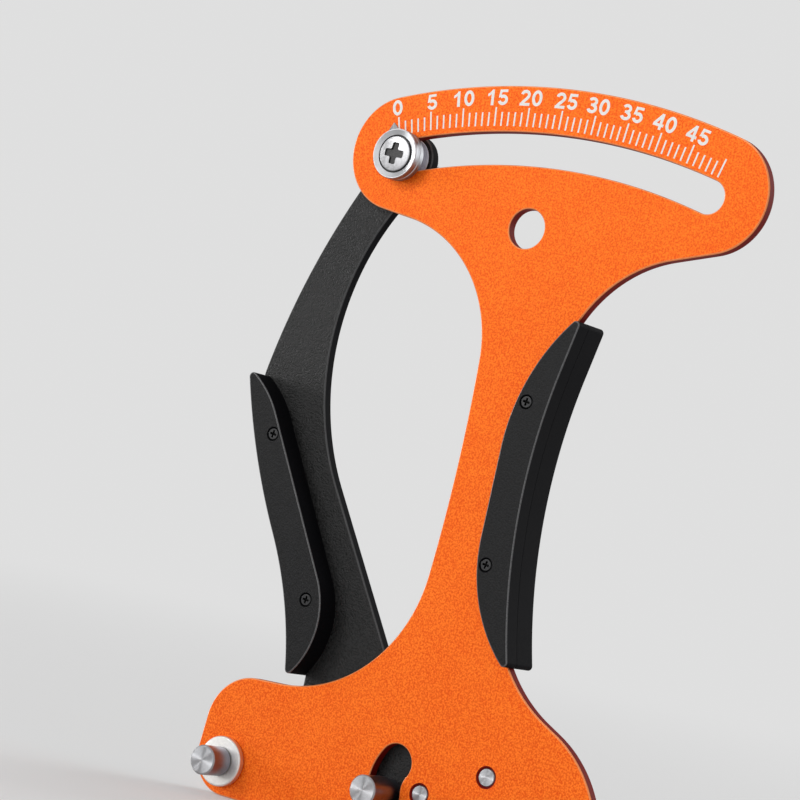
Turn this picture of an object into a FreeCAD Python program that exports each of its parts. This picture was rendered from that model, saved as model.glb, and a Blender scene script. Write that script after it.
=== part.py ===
import FreeCAD, Part
import math
import os

Vector = FreeCAD.Vector

# Bicycle spoke tension meter, in millimetres.
# X runs along the spoke that is measured, Z is up toward the scale, and the
# front of the tool faces -Y. The sketches are drawn about the lever's pivot,
# with the front face of the plate at y = 0. The saved solids are moved so that
# the middle of the hanging hole is the origin.
# Angles are measured about the pivot, from +Z toward +X.

# depth of the layers, from front to back
PLATE_T = 3.0
ARM_GAP = 0.5
ARM_T = 3.0
SLIDE_GAP = 0.04
FIT_GAP = 0.02
ARM_FRONT = PLATE_T + ARM_GAP
ARM_REAR = ARM_FRONT + ARM_T
EASE = 0.05

# scale slot in the head of the plate
SLOT_R = 160.0
SLOT_HALF = 4.2
REST_DEG = -16.5
TRAVEL_DEG = 31.8
SLOT_LEFT_DEG = REST_DEG - 0.4
SLOT_RIGHT_DEG = REST_DEG + TRAVEL_DEG + 0.05

# outline of the plate
HEAD_RISE = 15.8
HEAD_R = SLOT_R + HEAD_RISE
HEAD_END_R = 14.7
HEAD_LEFT_DEG = REST_DEG - 0.2
HEAD_RIGHT_DEG = REST_DEG + TRAVEL_DEG + 0.3
NECK_X = -9.72
NECK_Z = 84.9
NECK_SIDE_R = 425.0
LEFT_HEAD_FILLET_R = 34.2
LEFT_HEAD_SLACK = 0.89
LEFT_BASE_FILLET_R = 38.0
LEFT_BASE_SLACK = 0.55
LOBE_TOP_X = -53.9
LOBE_TOP_Z = 3.7
LOBE_TOP_R = 13.0
LOBE_LOW_X = -57.5
LOBE_LOW_Z = -4.2
LOBE_LOW_R = 10.0
RIGHT_LOW_X = 38.9
RIGHT_LOW_Z = -3.3
RIGHT_LOW_R = 11.0
RIGHT_LOBE_R = 30.0
RIGHT_LOBE_DEG = -93.6
RIGHT_BASE_FILLET_R = 36.0
RIGHT_BASE_SLACK = 0.14
RIGHT_BASE_DEG = 22.96
RIGHT_HEAD_FILLET_R = 34.3
RIGHT_HEAD_SLACK = 1.28
RIGHT_HEAD_DEG = 176.96
PLATE_CHAMFER = 0.25

# hanging hole
HANG_X = -5.0
HANG_DROP = 19.8
HANG_Z = SLOT_R - HANG_DROP
HANG_R = 5.0

# posts that hold the spoke
POST_R = 3.75
POST_TIP_Y = -9.3
POST_CHAMFER = 0.35
POST_NECK_R = 3.2
POST_NECK_GAP = 0.3
POST_SHANK_R = 2.5
POST_HEAD_R = 4.4
POST_HEAD_T = 1.0
POST_Z = -5.7
LEFT_POST_X = -58.7
RIGHT_POST_X = 38.1
COLLAR_R = 6.35
COLLAR_T = 2.0
COLLAR_CHAMFER = 0.3
REAR_WASHER_R = 5.0
REAR_WASHER_T = 0.8

# moving post on the lever, and the curved slot it passes through
MOVER_R = 10.55
MOVER_DEG = -99.7
MOVER_HEAD_R = 4.1
MOVER_HEAD_T = 0.8
MOVER_SLOT_OFF = 0.15
MOVER_SLOT_R = MOVER_R - MOVER_SLOT_OFF
MOVER_CLEAR = 0.95
MOVER_SLOT_HALF = POST_R + MOVER_CLEAR
MOVER_SLOT_LOW_DEG = MOVER_DEG - 3.8
MOVER_SLOT_TOP_DEG = MOVER_DEG + TRAVEL_DEG + 11.4

# pivot
PIN_R = 2.3
PIN_RECESS = 0.15
PIN_CHAMFER = 0.25
JOURNAL_R = 3.0
BUSH_FIT = 0.03
BUSH_R = 4.2
BUSH_FLANGE_R = 5.4
PIVOT_WASHER_R = 5.8
PIVOT_WASHER_T = 0.5
GROOVE_R = 2.3
CLIP_R = 4.6
CLIP_T = 0.5
CLIP_OPEN = 1.9
CLIP_SIDE_GAP = 0.06
PIN_END = 0.8

# outline of the lever arm
ARM_END_R = 6.7
ARM_LEFT_R = 180.0
ARM_KNEE_X = -63.4
ARM_KNEE_Z = 92.0
ARM_KNEE_R = 12.0
ARM_WAIST_R = 60.0
ARM_WAIST_TOP_SLACK = 9.93
ARM_WAIST_LOW_SLACK = 2.16
ARM_HEEL_X = -33.4
ARM_HEEL_Z = 3.0
ARM_HEEL_R = 9.0
ARM_EAR_R = 3.8
ARM_BOSS_R = 11.0
ARM_CROTCH_R = 10.0
ARM_CROTCH_SLACK = 0.09
ARM_CROTCH_DEG = -5.17
ARM_RIGHT_R = 66.0
ARM_RIGHT_SLACK = 0.2
ARM_RIGHT_DEG = 131.6
ARM_CHAMFER = 0.25

# return spring and the two pins that it pulls on
ANCHOR_X = 17.3
ANCHOR_Z = 8.3
ANCHOR_RING_R = 2.5
ANCHOR_R = 2.3
LEVER_PIN_X = 5.5
LEVER_PIN_Z = -9.5
LEVER_PIN_SHANK_R = 1.6
SPRING_WIRE_R = 0.4
SPRING_R = 1.9
SPRING_TURNS = 11
SPRING_PITCH = 1.25
SPRING_OFF = 0.35
HOOK_POST_R = 1.2
HOOK_R = 1.65
HOOK_DEG = 235.0
PIN_SHOULDER_R = 2.1
PIN_CAP_R = 2.1
PIN_CAP_T = 0.7
PIN_CAP_GAP = 0.3
SPRING_GAP_MIN = 0.4

# grips
GRIP_FRONT_Y = -3.4
GRIP_REAR_Y = 9.0
RIGHT_SPLIT_Y = 1.5
LEFT_SPLIT_Y = 5.0
GRIP_TIP_R = 1.1
GRIP_CHAMFER = 0.5
RIGHT_TIP_X = 16.4
RIGHT_TIP_Z = 118.6
RIGHT_TOE_X = 17.0
RIGHT_TOE_Z = 36.1
RIGHT_IN_X = 3.3
RIGHT_IN_TOP_R = 51.0
RIGHT_IN_LOW_R = 38.5
RIGHT_OUT_R = 150.0
RIGHT_OUT_SLACK = 0.45
# the left grip is drawn as it stands when the handles are squeezed together
LEFT_TIP_X = -14.6
LEFT_TIP_Z = 116.6
LEFT_TOE_X = -25.5
LEFT_TOE_Z = 41.0
LEFT_IN_X = -10.7
LEFT_IN_TOP_R = 28.0
LEFT_IN_LOW_R = 21.0
LEFT_OUT_X = -20.4
LEFT_OUT_TOP_R = 170.0
LEFT_OUT_LOW_R = 95.0

# screws and nuts of the grips, one pair for each grip: how far each screw
# stands in from the inner side of the grip, and from its tip or toe
RIGHT_SCREW_TOP_IN = 4.3
RIGHT_SCREW_TOP_DROP = 20.3
RIGHT_SCREW_LOW_IN = 3.1
RIGHT_SCREW_LOW_RISE = 21.7
LEFT_SCREW_TOP_IN = 2.25
LEFT_SCREW_TOP_DROP = 16.75
LEFT_SCREW_LOW_IN = 4.93
LEFT_SCREW_LOW_RISE = 14.8
SCREW_HEAD_R = 1.75
SCREW_HEAD_RIM = 0.25
SCREW_HEAD_DEPTH = 0.85
SCREW_SINK = 0.1
SCREW_R = 1.1
SCREW_HOLE_R = 1.25
SCREW_SLOT_L = 1.9
SCREW_SLOT_W = 0.5
SCREW_SLOT_D = 0.6
NUT_AF = 4.0
NUT_T = 1.6
NUT_SINK = 0.5
NUT_GAP = 0.05

# pointer screw and what it clamps
POINTER_R = 6.45
POINTER_TIP = 7.95
POINTER_TIP_R = 0.25
POINTER_TIP_TURN = -2.8
POINTER_TIP_Y = -3.3
POINTER_BACK_Y = -2.15
POINTER_EDGE_Y = -4.0
POINTER_RIM_Y = -4.15
POINTER_RIM_R = 6.3
POINTER_DISH_R = 4.7
POINTER_DISH_Y = -3.75
BACKING_R = 6.35
BACKING_CHAMFER = 0.3
PLATE_CLEAR = 0.08
SLOT_CLEAR = 0.2
SLOT_BUSH_R = SLOT_HALF - SLOT_CLEAR
GLIDE_R = 5.6
POINTER_SCREW_R = 2.5
POINTER_HOLE_R = 2.6
POINTER_HEAD_R = 4.5
POINTER_HEAD_Y = -4.5
POINTER_HEAD_EDGE_Y = -4.25
POINTER_HEAD_EASE = 0.3
POINTER_CROSS_L = 5.5
POINTER_CROSS_W = 1.8
POINTER_CROSS_D = 0.6
POINTER_CROSS_TURN = 2.5
POINTER_WASHER_R = 5.0
POINTER_WASHER_T = 0.9
POINTER_NUT_AF = 8.0
POINTER_NUT_T = 3.2
POINTER_NUT_COLLAR_R = 3.6
POINTER_NUT_COLLAR_T = 0.8
POINTER_SCREW_END = 0.5
END_CHAMFER = 0.4

# shares
HALF_SHARE = 0.5
TURN_DEG = 360.0
QUARTER_DEG = 90.0
HEX_SIDES = 6


def polar(radius, degrees):
    a = math.radians(degrees)
    return (radius * math.sin(a), radius * math.cos(a))


def turned_back(point, degrees):
    """A point of the squeezed lever, where it lies with the lever at rest."""
    a = math.radians(degrees)
    x, z = point
    return (x * math.cos(a) - z * math.sin(a), x * math.sin(a) + z * math.cos(a))


def belt(circles):
    """Closed line around circles (x, z, radius), each joined to the next by
    their common tangent. The inside is on the left of the way. A minus
    radius bends the line outward."""
    n = len(circles)
    links = [tangent(circles[i], circles[(i + 1) % n]) for i in range(n)]
    edges = []
    for i in range(n):
        arrive, before, start = links[i - 1]
        leave, end, onward = links[i]
        middle = touch(circles[i], arrive + swing(circles[i], arrive, leave) * HALF_SHARE)
        edges.append(Part.Arc(start, middle, end).toShape())
        if end is not onward:
            edges.append(Part.LineSegment(end, onward).toShape())
    return Part.Wire(edges)


def touch(circle, way):
    """Where a line that heads along the way touches the circle."""
    x, z, r = circle
    return Vector(x + r * math.sin(way), 0, z - r * math.cos(way))


def swing(circle, arrive, leave):
    """Turn along the circle from one way to the other, in its own sense."""
    sense = math.copysign(1, circle[2])
    return sense * ((sense * (leave - arrive)) % (2 * math.pi))


def tangent(first, second):
    """The way of the tangent from one circle to the next, and its two ends.
    Circles that touch share one point."""
    x0, z0, r0 = first
    x1, z1, r1 = second
    span = math.hypot(x1 - x0, z1 - z0)
    run = math.sqrt(max(0, span * span - (r1 - r0) ** 2))
    way = math.atan2(z1 - z0, x1 - x0) - math.atan2(r1 - r0, run)
    end = touch(first, way)
    onward = touch(second, way)
    if run < EASE:
        end = onward = (end + onward) * HALF_SHARE
    return way, end, onward


def beside(circle, radius, slack, degrees):
    """Circle in a direction from another, whose edges stand a slack apart."""
    x, z = polar(abs(radius - circle[2]) + slack, degrees)
    return (circle[0] + x, circle[1] + z, radius)


def bow(first, second, radius, first_slack, second_slack):
    """Arc that links two circles; its edge stands a slack off each of them.
    Of the two places for its centre, the one with the shorter arc is taken."""
    along_x = second[0] - first[0]
    along_z = second[1] - first[1]
    span = math.hypot(along_x, along_z)
    reach = abs(radius - first[2]) + first_slack
    other = abs(radius - second[2]) + second_slack
    run = (reach ** 2 - other ** 2 + span ** 2) / (span + span)
    rise = math.sqrt(reach ** 2 - run ** 2)
    best = None
    for side in (-rise, rise):
        x = first[0] + (along_x * run - along_z * side) / span
        z = first[1] + (along_z * run + along_x * side) / span
        circle = (x, z, radius)
        turn = abs(swing(circle, tangent(first, circle)[0], tangent(circle, second)[0]))
        if best is None or turn < best[0]:
            best = (turn, circle)
    return best[1]


def wall_arc(wall_x, sense, radius, corner, up):
    """Arc that runs from a corner's circle into an upright wall. The sense is 1
    where the outline runs down the wall, and up is 1 where the arc's centre is
    above the corner."""
    x = wall_x + sense * radius
    reach = abs(radius - corner[2])
    return (x, corner[1] + up * math.sqrt(reach ** 2 - (x - corner[0]) ** 2), radius)


def slab(wire, y_from, y_to):
    face = Part.Face(wire)
    solid = face.extrude(Vector(0, y_to - y_from, 0))
    solid.translate(Vector(0, y_from, 0))
    return solid


def rod(centre, radius, y_from, y_to):
    foot = Vector(centre[0], y_from, centre[1])
    return Part.makeCylinder(radius, y_to - y_from, foot, Vector(0, 1, 0))


def turned(centre, profile):
    """Solid of revolution about a Y axis, from points (y, radius)."""
    points = [Vector(r, y, 0) for y, r in profile]
    face = Part.Face(Part.makePolygon(points + [points[0]]))
    solid = face.revolve(Vector(0, 0, 0), Vector(0, 1, 0), TURN_DEG)
    solid.translate(Vector(centre[0], 0, centre[1]))
    return solid


def ring(centre, inner, outer, y_from, y_to, chamfer):
    """Turned ring with a chamfer on both outer edges."""
    return turned(centre, [
        (y_from, inner),
        (y_from, outer - chamfer),
        (y_from + chamfer, outer),
        (y_to - chamfer, outer),
        (y_to, outer - chamfer),
        (y_to, inner),
    ])


def arc_slot(radius, half, from_deg, to_deg, y_from, y_to):
    """Cutter for a slot with round ends that runs about the pivot."""
    middle = (from_deg + to_deg) * HALF_SHARE
    ends = []
    for r in (radius + half, radius - half):
        ends.append([polar(r, a) for a in (from_deg, middle, to_deg)])
    far = [Vector(x, 0, z) for x, z in ends[0]]
    near = [Vector(x, 0, z) for x, z in ends[1]]
    band = Part.Wire([
        Part.Arc(far[0], far[1], far[2]).toShape(),
        Part.LineSegment(far[2], near[2]).toShape(),
        Part.Arc(near[2], near[1], near[0]).toShape(),
        Part.LineSegment(near[0], far[0]).toShape(),
    ])
    cutter = slab(band, y_from, y_to)
    for a in (from_deg, to_deg):
        cutter = cutter.fuse(rod(polar(radius, a), half, y_from, y_to))
    return cutter.removeSplitter()


def hexagon(centre, across_flats, y_from, y_to):
    corner_r = across_flats * HALF_SHARE / math.cos(math.pi / HEX_SIDES)
    points = []
    for i in range(HEX_SIDES + 1):
        a = 2 * math.pi * i / HEX_SIDES
        x = centre[0] + corner_r * math.cos(a)
        z = centre[1] + corner_r * math.sin(a)
        points.append(Vector(x, 0, z))
    return slab(Part.makePolygon(points), y_from, y_to)


def cross(centre, length, width, y_from, y_to, turn_deg):
    """Two crossed bars, the recess of a cross-head screw."""
    bars = []
    for turn in (turn_deg, turn_deg + QUARTER_DEG):
        bar = Part.makeBox(length, y_to - y_from, width,
                           Vector(-length * HALF_SHARE, y_from, -width * HALF_SHARE))
        bar.rotate(Vector(0, 0, 0), Vector(0, 1, 0), turn)
        bar.translate(Vector(centre[0], 0, centre[1]))
        bars.append(bar)
    return bars[0].fuse(bars[1])


def rim_chamfer(solid, size, levels, keep=None):
    """Chamfer the edges that lie wholly at one of the y levels."""
    edges = []
    for edge in solid.Edges:
        box = edge.BoundBox
        for y in levels:
            if abs(box.YMin - y) < size * EASE and abs(box.YMax - y) < size * EASE:
                if keep is None or keep(edge):
                    edges.append(edge)
    return solid.makeChamfer(size, edges)


def plate_outline():
    head = (0, 0, HEAD_R)
    left_end = beside(head, HEAD_END_R, 0, HEAD_LEFT_DEG)
    right_end = beside(head, HEAD_END_R, 0, HEAD_RIGHT_DEG)
    neck = (NECK_X - NECK_SIDE_R, NECK_Z, -NECK_SIDE_R)
    lobe = (LOBE_TOP_X, LOBE_TOP_Z, LOBE_TOP_R)
    right_low = (RIGHT_LOW_X, RIGHT_LOW_Z, RIGHT_LOW_R)
    right_lobe = beside(right_low, RIGHT_LOBE_R, 0, RIGHT_LOBE_DEG)
    return belt([
        head,
        left_end,
        bow(left_end, neck, -LEFT_HEAD_FILLET_R, LEFT_HEAD_SLACK, 0),
        neck,
        bow(neck, lobe, -LEFT_BASE_FILLET_R, 0, LEFT_BASE_SLACK),
        lobe,
        (LOBE_LOW_X, LOBE_LOW_Z, LOBE_LOW_R),
        right_low,
        right_lobe,
        beside(right_lobe, -RIGHT_BASE_FILLET_R, RIGHT_BASE_SLACK, RIGHT_BASE_DEG),
        beside(right_end, -RIGHT_HEAD_FILLET_R, RIGHT_HEAD_SLACK, RIGHT_HEAD_DEG),
        right_end,
    ])


def arm_outline():
    end = polar(SLOT_R, REST_DEG) + (ARM_END_R,)
    knee = (ARM_KNEE_X, ARM_KNEE_Z, ARM_KNEE_R)
    heel = (ARM_HEEL_X, ARM_HEEL_Z, ARM_HEEL_R)
    boss = (0, 0, ARM_BOSS_R)
    return belt([
        end,
        bow(end, knee, ARM_LEFT_R, 0, 0),
        knee,
        bow(knee, heel, -ARM_WAIST_R, ARM_WAIST_TOP_SLACK, ARM_WAIST_LOW_SLACK),
        heel,
        (LEVER_PIN_X, LEVER_PIN_Z, ARM_EAR_R),
        boss,
        beside(boss, -ARM_CROTCH_R, ARM_CROTCH_SLACK, ARM_CROTCH_DEG),
        beside(end, -ARM_RIGHT_R, ARM_RIGHT_SLACK, ARM_RIGHT_DEG),
    ])


def right_grip_outline():
    tip = (RIGHT_TIP_X, RIGHT_TIP_Z, GRIP_TIP_R)
    toe = (RIGHT_TOE_X, RIGHT_TOE_Z, GRIP_TIP_R)
    return belt([
        tip,
        wall_arc(RIGHT_IN_X, 1, RIGHT_IN_TOP_R, tip, -1),
        wall_arc(RIGHT_IN_X, 1, RIGHT_IN_LOW_R, toe, 1),
        toe,
        bow(toe, tip, -RIGHT_OUT_R, 0, RIGHT_OUT_SLACK),
    ])


def left_grip_outline():
    tip = (LEFT_TIP_X, LEFT_TIP_Z, GRIP_TIP_R)
    toe = (LEFT_TOE_X, LEFT_TOE_Z, GRIP_TIP_R)
    squeezed = [
        tip,
        wall_arc(LEFT_OUT_X, 1, LEFT_OUT_TOP_R, tip, -1),
        wall_arc(LEFT_OUT_X, 1, -LEFT_OUT_LOW_R, toe, 1),
        toe,
        wall_arc(LEFT_IN_X, -1, LEFT_IN_LOW_R, toe, 1),
        wall_arc(LEFT_IN_X, -1, LEFT_IN_TOP_R, tip, -1),
    ]
    circles = []
    for x, z, r in squeezed:
        circles.append(turned_back((x, z), TRAVEL_DEG) + (r,))
    return belt(circles)


LEFT_POST = (LEFT_POST_X, POST_Z)
RIGHT_POST = (RIGHT_POST_X, POST_Z)
MOVER = polar(MOVER_R, MOVER_DEG)
ANCHOR = (ANCHOR_X, ANCHOR_Z)
LEVER_PIN = (LEVER_PIN_X, LEVER_PIN_Z)
POINTER = polar(SLOT_R, REST_DEG)
PIVOT = (0, 0)
HANG = (HANG_X, HANG_Z)
RIGHT_SCREWS = (
    (RIGHT_IN_X + RIGHT_SCREW_TOP_IN, RIGHT_TIP_Z - RIGHT_SCREW_TOP_DROP),
    (RIGHT_IN_X + RIGHT_SCREW_LOW_IN, RIGHT_TOE_Z + RIGHT_SCREW_LOW_RISE),
)
LEFT_SCREWS = (
    turned_back((LEFT_IN_X - LEFT_SCREW_TOP_IN, LEFT_TIP_Z - LEFT_SCREW_TOP_DROP),
                TRAVEL_DEG),
    turned_back((LEFT_IN_X - LEFT_SCREW_LOW_IN, LEFT_TOE_Z + LEFT_SCREW_LOW_RISE),
                TRAVEL_DEG),
)


def front_plate():
    plate = slab(plate_outline(), 0, PLATE_T)
    plate = rim_chamfer(plate, PLATE_CHAMFER, (0, PLATE_T))
    through = (-PLATE_T, PLATE_T + PLATE_T)
    holes = [
        arc_slot(SLOT_R, SLOT_HALF, SLOT_LEFT_DEG, SLOT_RIGHT_DEG, *through),
        arc_slot(MOVER_SLOT_R, MOVER_SLOT_HALF, MOVER_SLOT_LOW_DEG,
                 MOVER_SLOT_TOP_DEG, *through),
        rod(HANG, HANG_R, *through),
        rod(PIVOT, PIN_R, *through),
        rod(ANCHOR, ANCHOR_R, *through),
        rod(LEFT_POST, POST_SHANK_R, *through),
        rod(RIGHT_POST, POST_SHANK_R, *through),
    ]
    for point in RIGHT_SCREWS:
        holes.append(rod(point, SCREW_HOLE_R, *through))
    for hole in holes:
        plate = plate.cut(hole)
    return plate


def lever_arm():
    arm = slab(arm_outline(), ARM_FRONT, ARM_REAR)
    arm = rim_chamfer(arm, ARM_CHAMFER, (ARM_FRONT, ARM_REAR))
    through = (0, ARM_REAR + ARM_T)
    holes = [
        rod(PIVOT, BUSH_R, *through),
        rod(MOVER, POST_SHANK_R, *through),
        rod(LEVER_PIN, LEVER_PIN_SHANK_R, *through),
        rod(POINTER, POINTER_HOLE_R, *through),
    ]
    for point in LEFT_SCREWS:
        holes.append(rod(point, SCREW_HOLE_R, *through))
    for hole in holes:
        arm = arm.cut(hole)
    return arm


def fixed_post(centre):
    """Turned post: a smooth front, a neck for the collar, a shank through the
    plate and a peened end."""
    shoulder = -COLLAR_T - POST_NECK_GAP
    rear = PLATE_T + REAR_WASHER_T
    return turned(centre, [
        (POST_TIP_Y, 0),
        (POST_TIP_Y, POST_R - POST_CHAMFER),
        (POST_TIP_Y + POST_CHAMFER, POST_R),
        (shoulder, POST_R),
        (shoulder, POST_NECK_R),
        (0, POST_NECK_R),
        (0, POST_SHANK_R),
        (rear, POST_SHANK_R),
        (rear, POST_HEAD_R),
        (rear + POST_HEAD_T, POST_SHANK_R),
        (rear + POST_HEAD_T, 0),
    ])


def moving_post():
    """Turned post with a slimmer neck where it passes through the plate."""
    return turned(MOVER, [
        (POST_TIP_Y, 0),
        (POST_TIP_Y, POST_R - POST_CHAMFER),
        (POST_TIP_Y + POST_CHAMFER, POST_R),
        (-POST_NECK_GAP, POST_R),
        (-POST_NECK_GAP, POST_NECK_R),
        (ARM_FRONT, POST_NECK_R),
        (ARM_FRONT, POST_SHANK_R),
        (ARM_REAR, POST_SHANK_R),
        (ARM_REAR, MOVER_HEAD_R),
        (ARM_REAR + MOVER_HEAD_T, POST_SHANK_R),
        (ARM_REAR + MOVER_HEAD_T, 0),
    ])


def collar(centre):
    return ring(centre, POST_NECK_R + FIT_GAP, COLLAR_R, -COLLAR_T, 0, COLLAR_CHAMFER)


def post_rear_washers():
    washers = []
    for centre in (LEFT_POST, RIGHT_POST):
        washers.append(ring(centre, POST_SHANK_R + FIT_GAP, REAR_WASHER_R, PLATE_T,
                            PLATE_T + REAR_WASHER_T, FIT_GAP))
    return Part.makeCompound(washers)


# y levels of what stands behind the arm on the pivot
WASHER_FROM = ARM_REAR + FIT_GAP
WASHER_TO = WASHER_FROM + PIVOT_WASHER_T
CLIP_FROM = WASHER_TO + CLIP_SIDE_GAP
CLIP_TO = CLIP_FROM + CLIP_T


def pivot_pin():
    groove_end = CLIP_TO + CLIP_SIDE_GAP
    end = groove_end + PIN_END
    return turned(PIVOT, [
        (PIN_RECESS, 0),
        (PIN_RECESS, PIN_R - PIN_CHAMFER),
        (PIN_RECESS + PIN_CHAMFER, PIN_R),
        (PLATE_T, PIN_R),
        (PLATE_T, JOURNAL_R),
        (WASHER_TO, JOURNAL_R),
        (WASHER_TO, GROOVE_R),
        (groove_end, GROOVE_R),
        (groove_end, JOURNAL_R),
        (end - PIN_CHAMFER, JOURNAL_R),
        (end, JOURNAL_R - PIN_CHAMFER),
        (end, 0),
    ])


def pivot_bush():
    """Flanged bush pressed in the arm; its flange spaces the arm off the plate."""
    inner = JOURNAL_R + BUSH_FIT
    return turned(PIVOT, [
        (PLATE_T + SLIDE_GAP, inner),
        (PLATE_T + SLIDE_GAP, BUSH_FLANGE_R),
        (ARM_FRONT, BUSH_FLANGE_R),
        (ARM_FRONT, BUSH_R),
        (ARM_REAR, BUSH_R),
        (ARM_REAR, inner),
    ])


def pivot_washer():
    return ring(PIVOT, JOURNAL_R + BUSH_FIT, PIVOT_WASHER_R, WASHER_FROM, WASHER_TO,
                FIT_GAP)


def pivot_clip():
    """Open ring that sits in the groove of the pin."""
    inner = GROOVE_R + FIT_GAP
    clip = ring(PIVOT, inner, CLIP_R, CLIP_FROM, CLIP_TO, FIT_GAP)
    gap = Part.makeBox(CLIP_OPEN + CLIP_OPEN, CLIP_TO, CLIP_R,
                       Vector(-CLIP_OPEN, CLIP_FROM - CLIP_T, 0))
    return clip.cut(gap)


# y levels of the spring and of its pins
HOOK_Y = ARM_REAR + SPRING_OFF + SPRING_WIRE_R
SPRING_Y = HOOK_Y + SPRING_R
CAP_FROM = HOOK_Y + SPRING_WIRE_R + PIN_CAP_GAP
CAP_TO = CAP_FROM + PIN_CAP_T


def spring_anchor_pin():
    """Pin fixed in the plate; its front end shows beside the pivot."""
    shoulder = ARM_REAR + FIT_GAP
    return turned(ANCHOR, [
        (PIN_RECESS, 0),
        (PIN_RECESS, ANCHOR_R - PIN_CHAMFER),
        (PIN_RECESS + PIN_CHAMFER, ANCHOR_R),
        (PLATE_T, ANCHOR_R),
        (PLATE_T, ANCHOR_RING_R),
        (PLATE_T + ARM_GAP, ANCHOR_RING_R),
        (PLATE_T + ARM_GAP, PIN_SHOULDER_R),
        (shoulder, PIN_SHOULDER_R),
        (shoulder, HOOK_POST_R),
        (CAP_FROM, HOOK_POST_R),
        (CAP_FROM, PIN_CAP_R),
        (CAP_TO, PIN_CAP_R),
        (CAP_TO, 0),
    ])


def spring_lever_pin():
    return turned(LEVER_PIN, [
        (ARM_FRONT, 0),
        (ARM_FRONT, LEVER_PIN_SHANK_R),
        (ARM_REAR, LEVER_PIN_SHANK_R),
        (ARM_REAR, HOOK_POST_R),
        (CAP_FROM, HOOK_POST_R),
        (CAP_FROM, PIN_CAP_R),
        (CAP_TO, PIN_CAP_R),
        (CAP_TO, 0),
    ])


def biarc(p0, t0, p1, t1):
    """Two tangent arcs from p0 along t0 to p1 along t1, with equal handles."""
    v = p1 - p0
    t = t0 + t1
    a = 2 * (1 - t0.dot(t1))
    b = 2 * v.dot(t)
    c = -v.dot(v)
    d = (-b + math.sqrt(b * b - 4 * a * c)) / (2 * a)
    q0 = p0 + t0 * d
    q1 = p1 - t1 * d
    joint = (q0 + q1) * HALF_SHARE
    way = (q1 - q0).normalize()
    return [arc_by_tangent(p0, t0, joint), arc_by_tangent(joint, way, p1)]


def arc_by_tangent(p0, t0, p1):
    """Middle point of the arc that leaves p0 along t0 and ends at p1."""
    chord = p1 - p0
    length = chord.Length
    unit = chord * (1 / length)
    cos_a = t0.dot(unit)
    normal = t0 - unit * cos_a
    sin_a = normal.Length
    normal = normal * (1 / sin_a)
    rise = length * HALF_SHARE * (1 - cos_a) / sin_a
    middle = (p0 + p1) * HALF_SHARE + normal * rise
    return (p0, middle, p1)


def return_spring():
    foot = Vector(LEVER_PIN_X, 0, LEVER_PIN_Z)
    head = Vector(ANCHOR_X, 0, ANCHOR_Z)
    along = head - foot
    span = along.Length
    along.normalize()
    out = Vector(0, 1, 0)
    side = along.cross(out)
    first = (span - SPRING_TURNS * SPRING_PITCH) * HALF_SHARE

    def at(s, n, y):
        return foot + along * s + side * n + out * y

    def bow(centre_s, centre_n, from_deg, sweep_deg):
        points = []
        for share in (0, HALF_SHARE, 1):
            a = math.radians(from_deg + sweep_deg * share)
            points.append(at(centre_s + HOOK_R * math.cos(a),
                             centre_n + HOOK_R * math.sin(a), HOOK_Y))
        return tuple(points)

    def wind(turn):
        a = 2 * math.pi * turn
        return at(first + turn * SPRING_PITCH, SPRING_R * math.sin(a),
                  SPRING_Y - SPRING_R * math.cos(a))

    def heading(turn):
        a = 2 * math.pi * turn
        flat = 2 * math.pi * SPRING_R
        way = (along * SPRING_PITCH + side * (flat * math.cos(a))
               + out * (flat * math.sin(a)))
        return way.normalize()

    # hook round the lever's pin, its leg, and the bend into the first turn
    runs = []
    hook_in = bow(0, 0, -QUARTER_DEG - HOOK_DEG, HOOK_DEG)
    runs.append(hook_in)
    leg_end = at(first - HOOK_R, -HOOK_R, HOOK_Y)
    runs.append((hook_in[2], leg_end))
    runs.extend(biarc(leg_end, along, wind(0), heading(0)))
    # the turns, as pairs of arcs over each quarter of a turn
    steps = SPRING_TURNS * 4
    for i in range(steps):
        runs.extend(biarc(wind(i / 4), heading(i / 4), wind((i + 1) / 4),
                          heading((i + 1) / 4)))
    # the bend out of the last turn, its leg, and the hook round the anchor
    leg_start = at(span - first + HOOK_R, HOOK_R, HOOK_Y)
    runs.extend(biarc(wind(SPRING_TURNS), heading(SPRING_TURNS), leg_start, along))
    hook_out = bow(span, 0, QUARTER_DEG, -HOOK_DEG)
    runs.append((leg_start, hook_out[0]))
    runs.append(hook_out)
    edges = []
    for run in runs:
        if len(run) == 3:
            edges.append(Part.Arc(*run).toShape())
        else:
            edges.append(Part.LineSegment(*run).toShape())
    wire = Part.Wire(edges)
    report_spring_gap(edges)
    start = edges[0].valueAt(edges[0].FirstParameter)
    way = edges[0].tangentAt(edges[0].FirstParameter)
    section = Part.Wire([Part.makeCircle(SPRING_WIRE_R, start, way)])
    return wire.makePipeShell([section], True, False)


def report_spring_gap(edges):
    """Print the least gap of the wire to itself, measured on points."""
    points = []
    travel = 0
    for edge in edges:
        count = max(2, int(edge.Length / SPRING_WIRE_R) + 1)
        for i in range(count):
            points.append((travel + edge.Length * i / count,
                           edge.valueAt(edge.getParameterByLength(edge.Length * i / count))))
        travel += edge.Length
    least = None
    apart = SPRING_R * 3
    for i, (si, pi) in enumerate(points):
        for sj, pj in points[i + 1:]:
            if sj - si > apart:
                d = (pj - pi).Length - SPRING_WIRE_R - SPRING_WIRE_R
                if least is None or d < least:
                    least = d
    print("spring: wire length %.1f mm, least gap to itself %.3f mm" % (travel, least))
    if least < SPRING_GAP_MIN:
        print("spring: the gap is too small")


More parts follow.
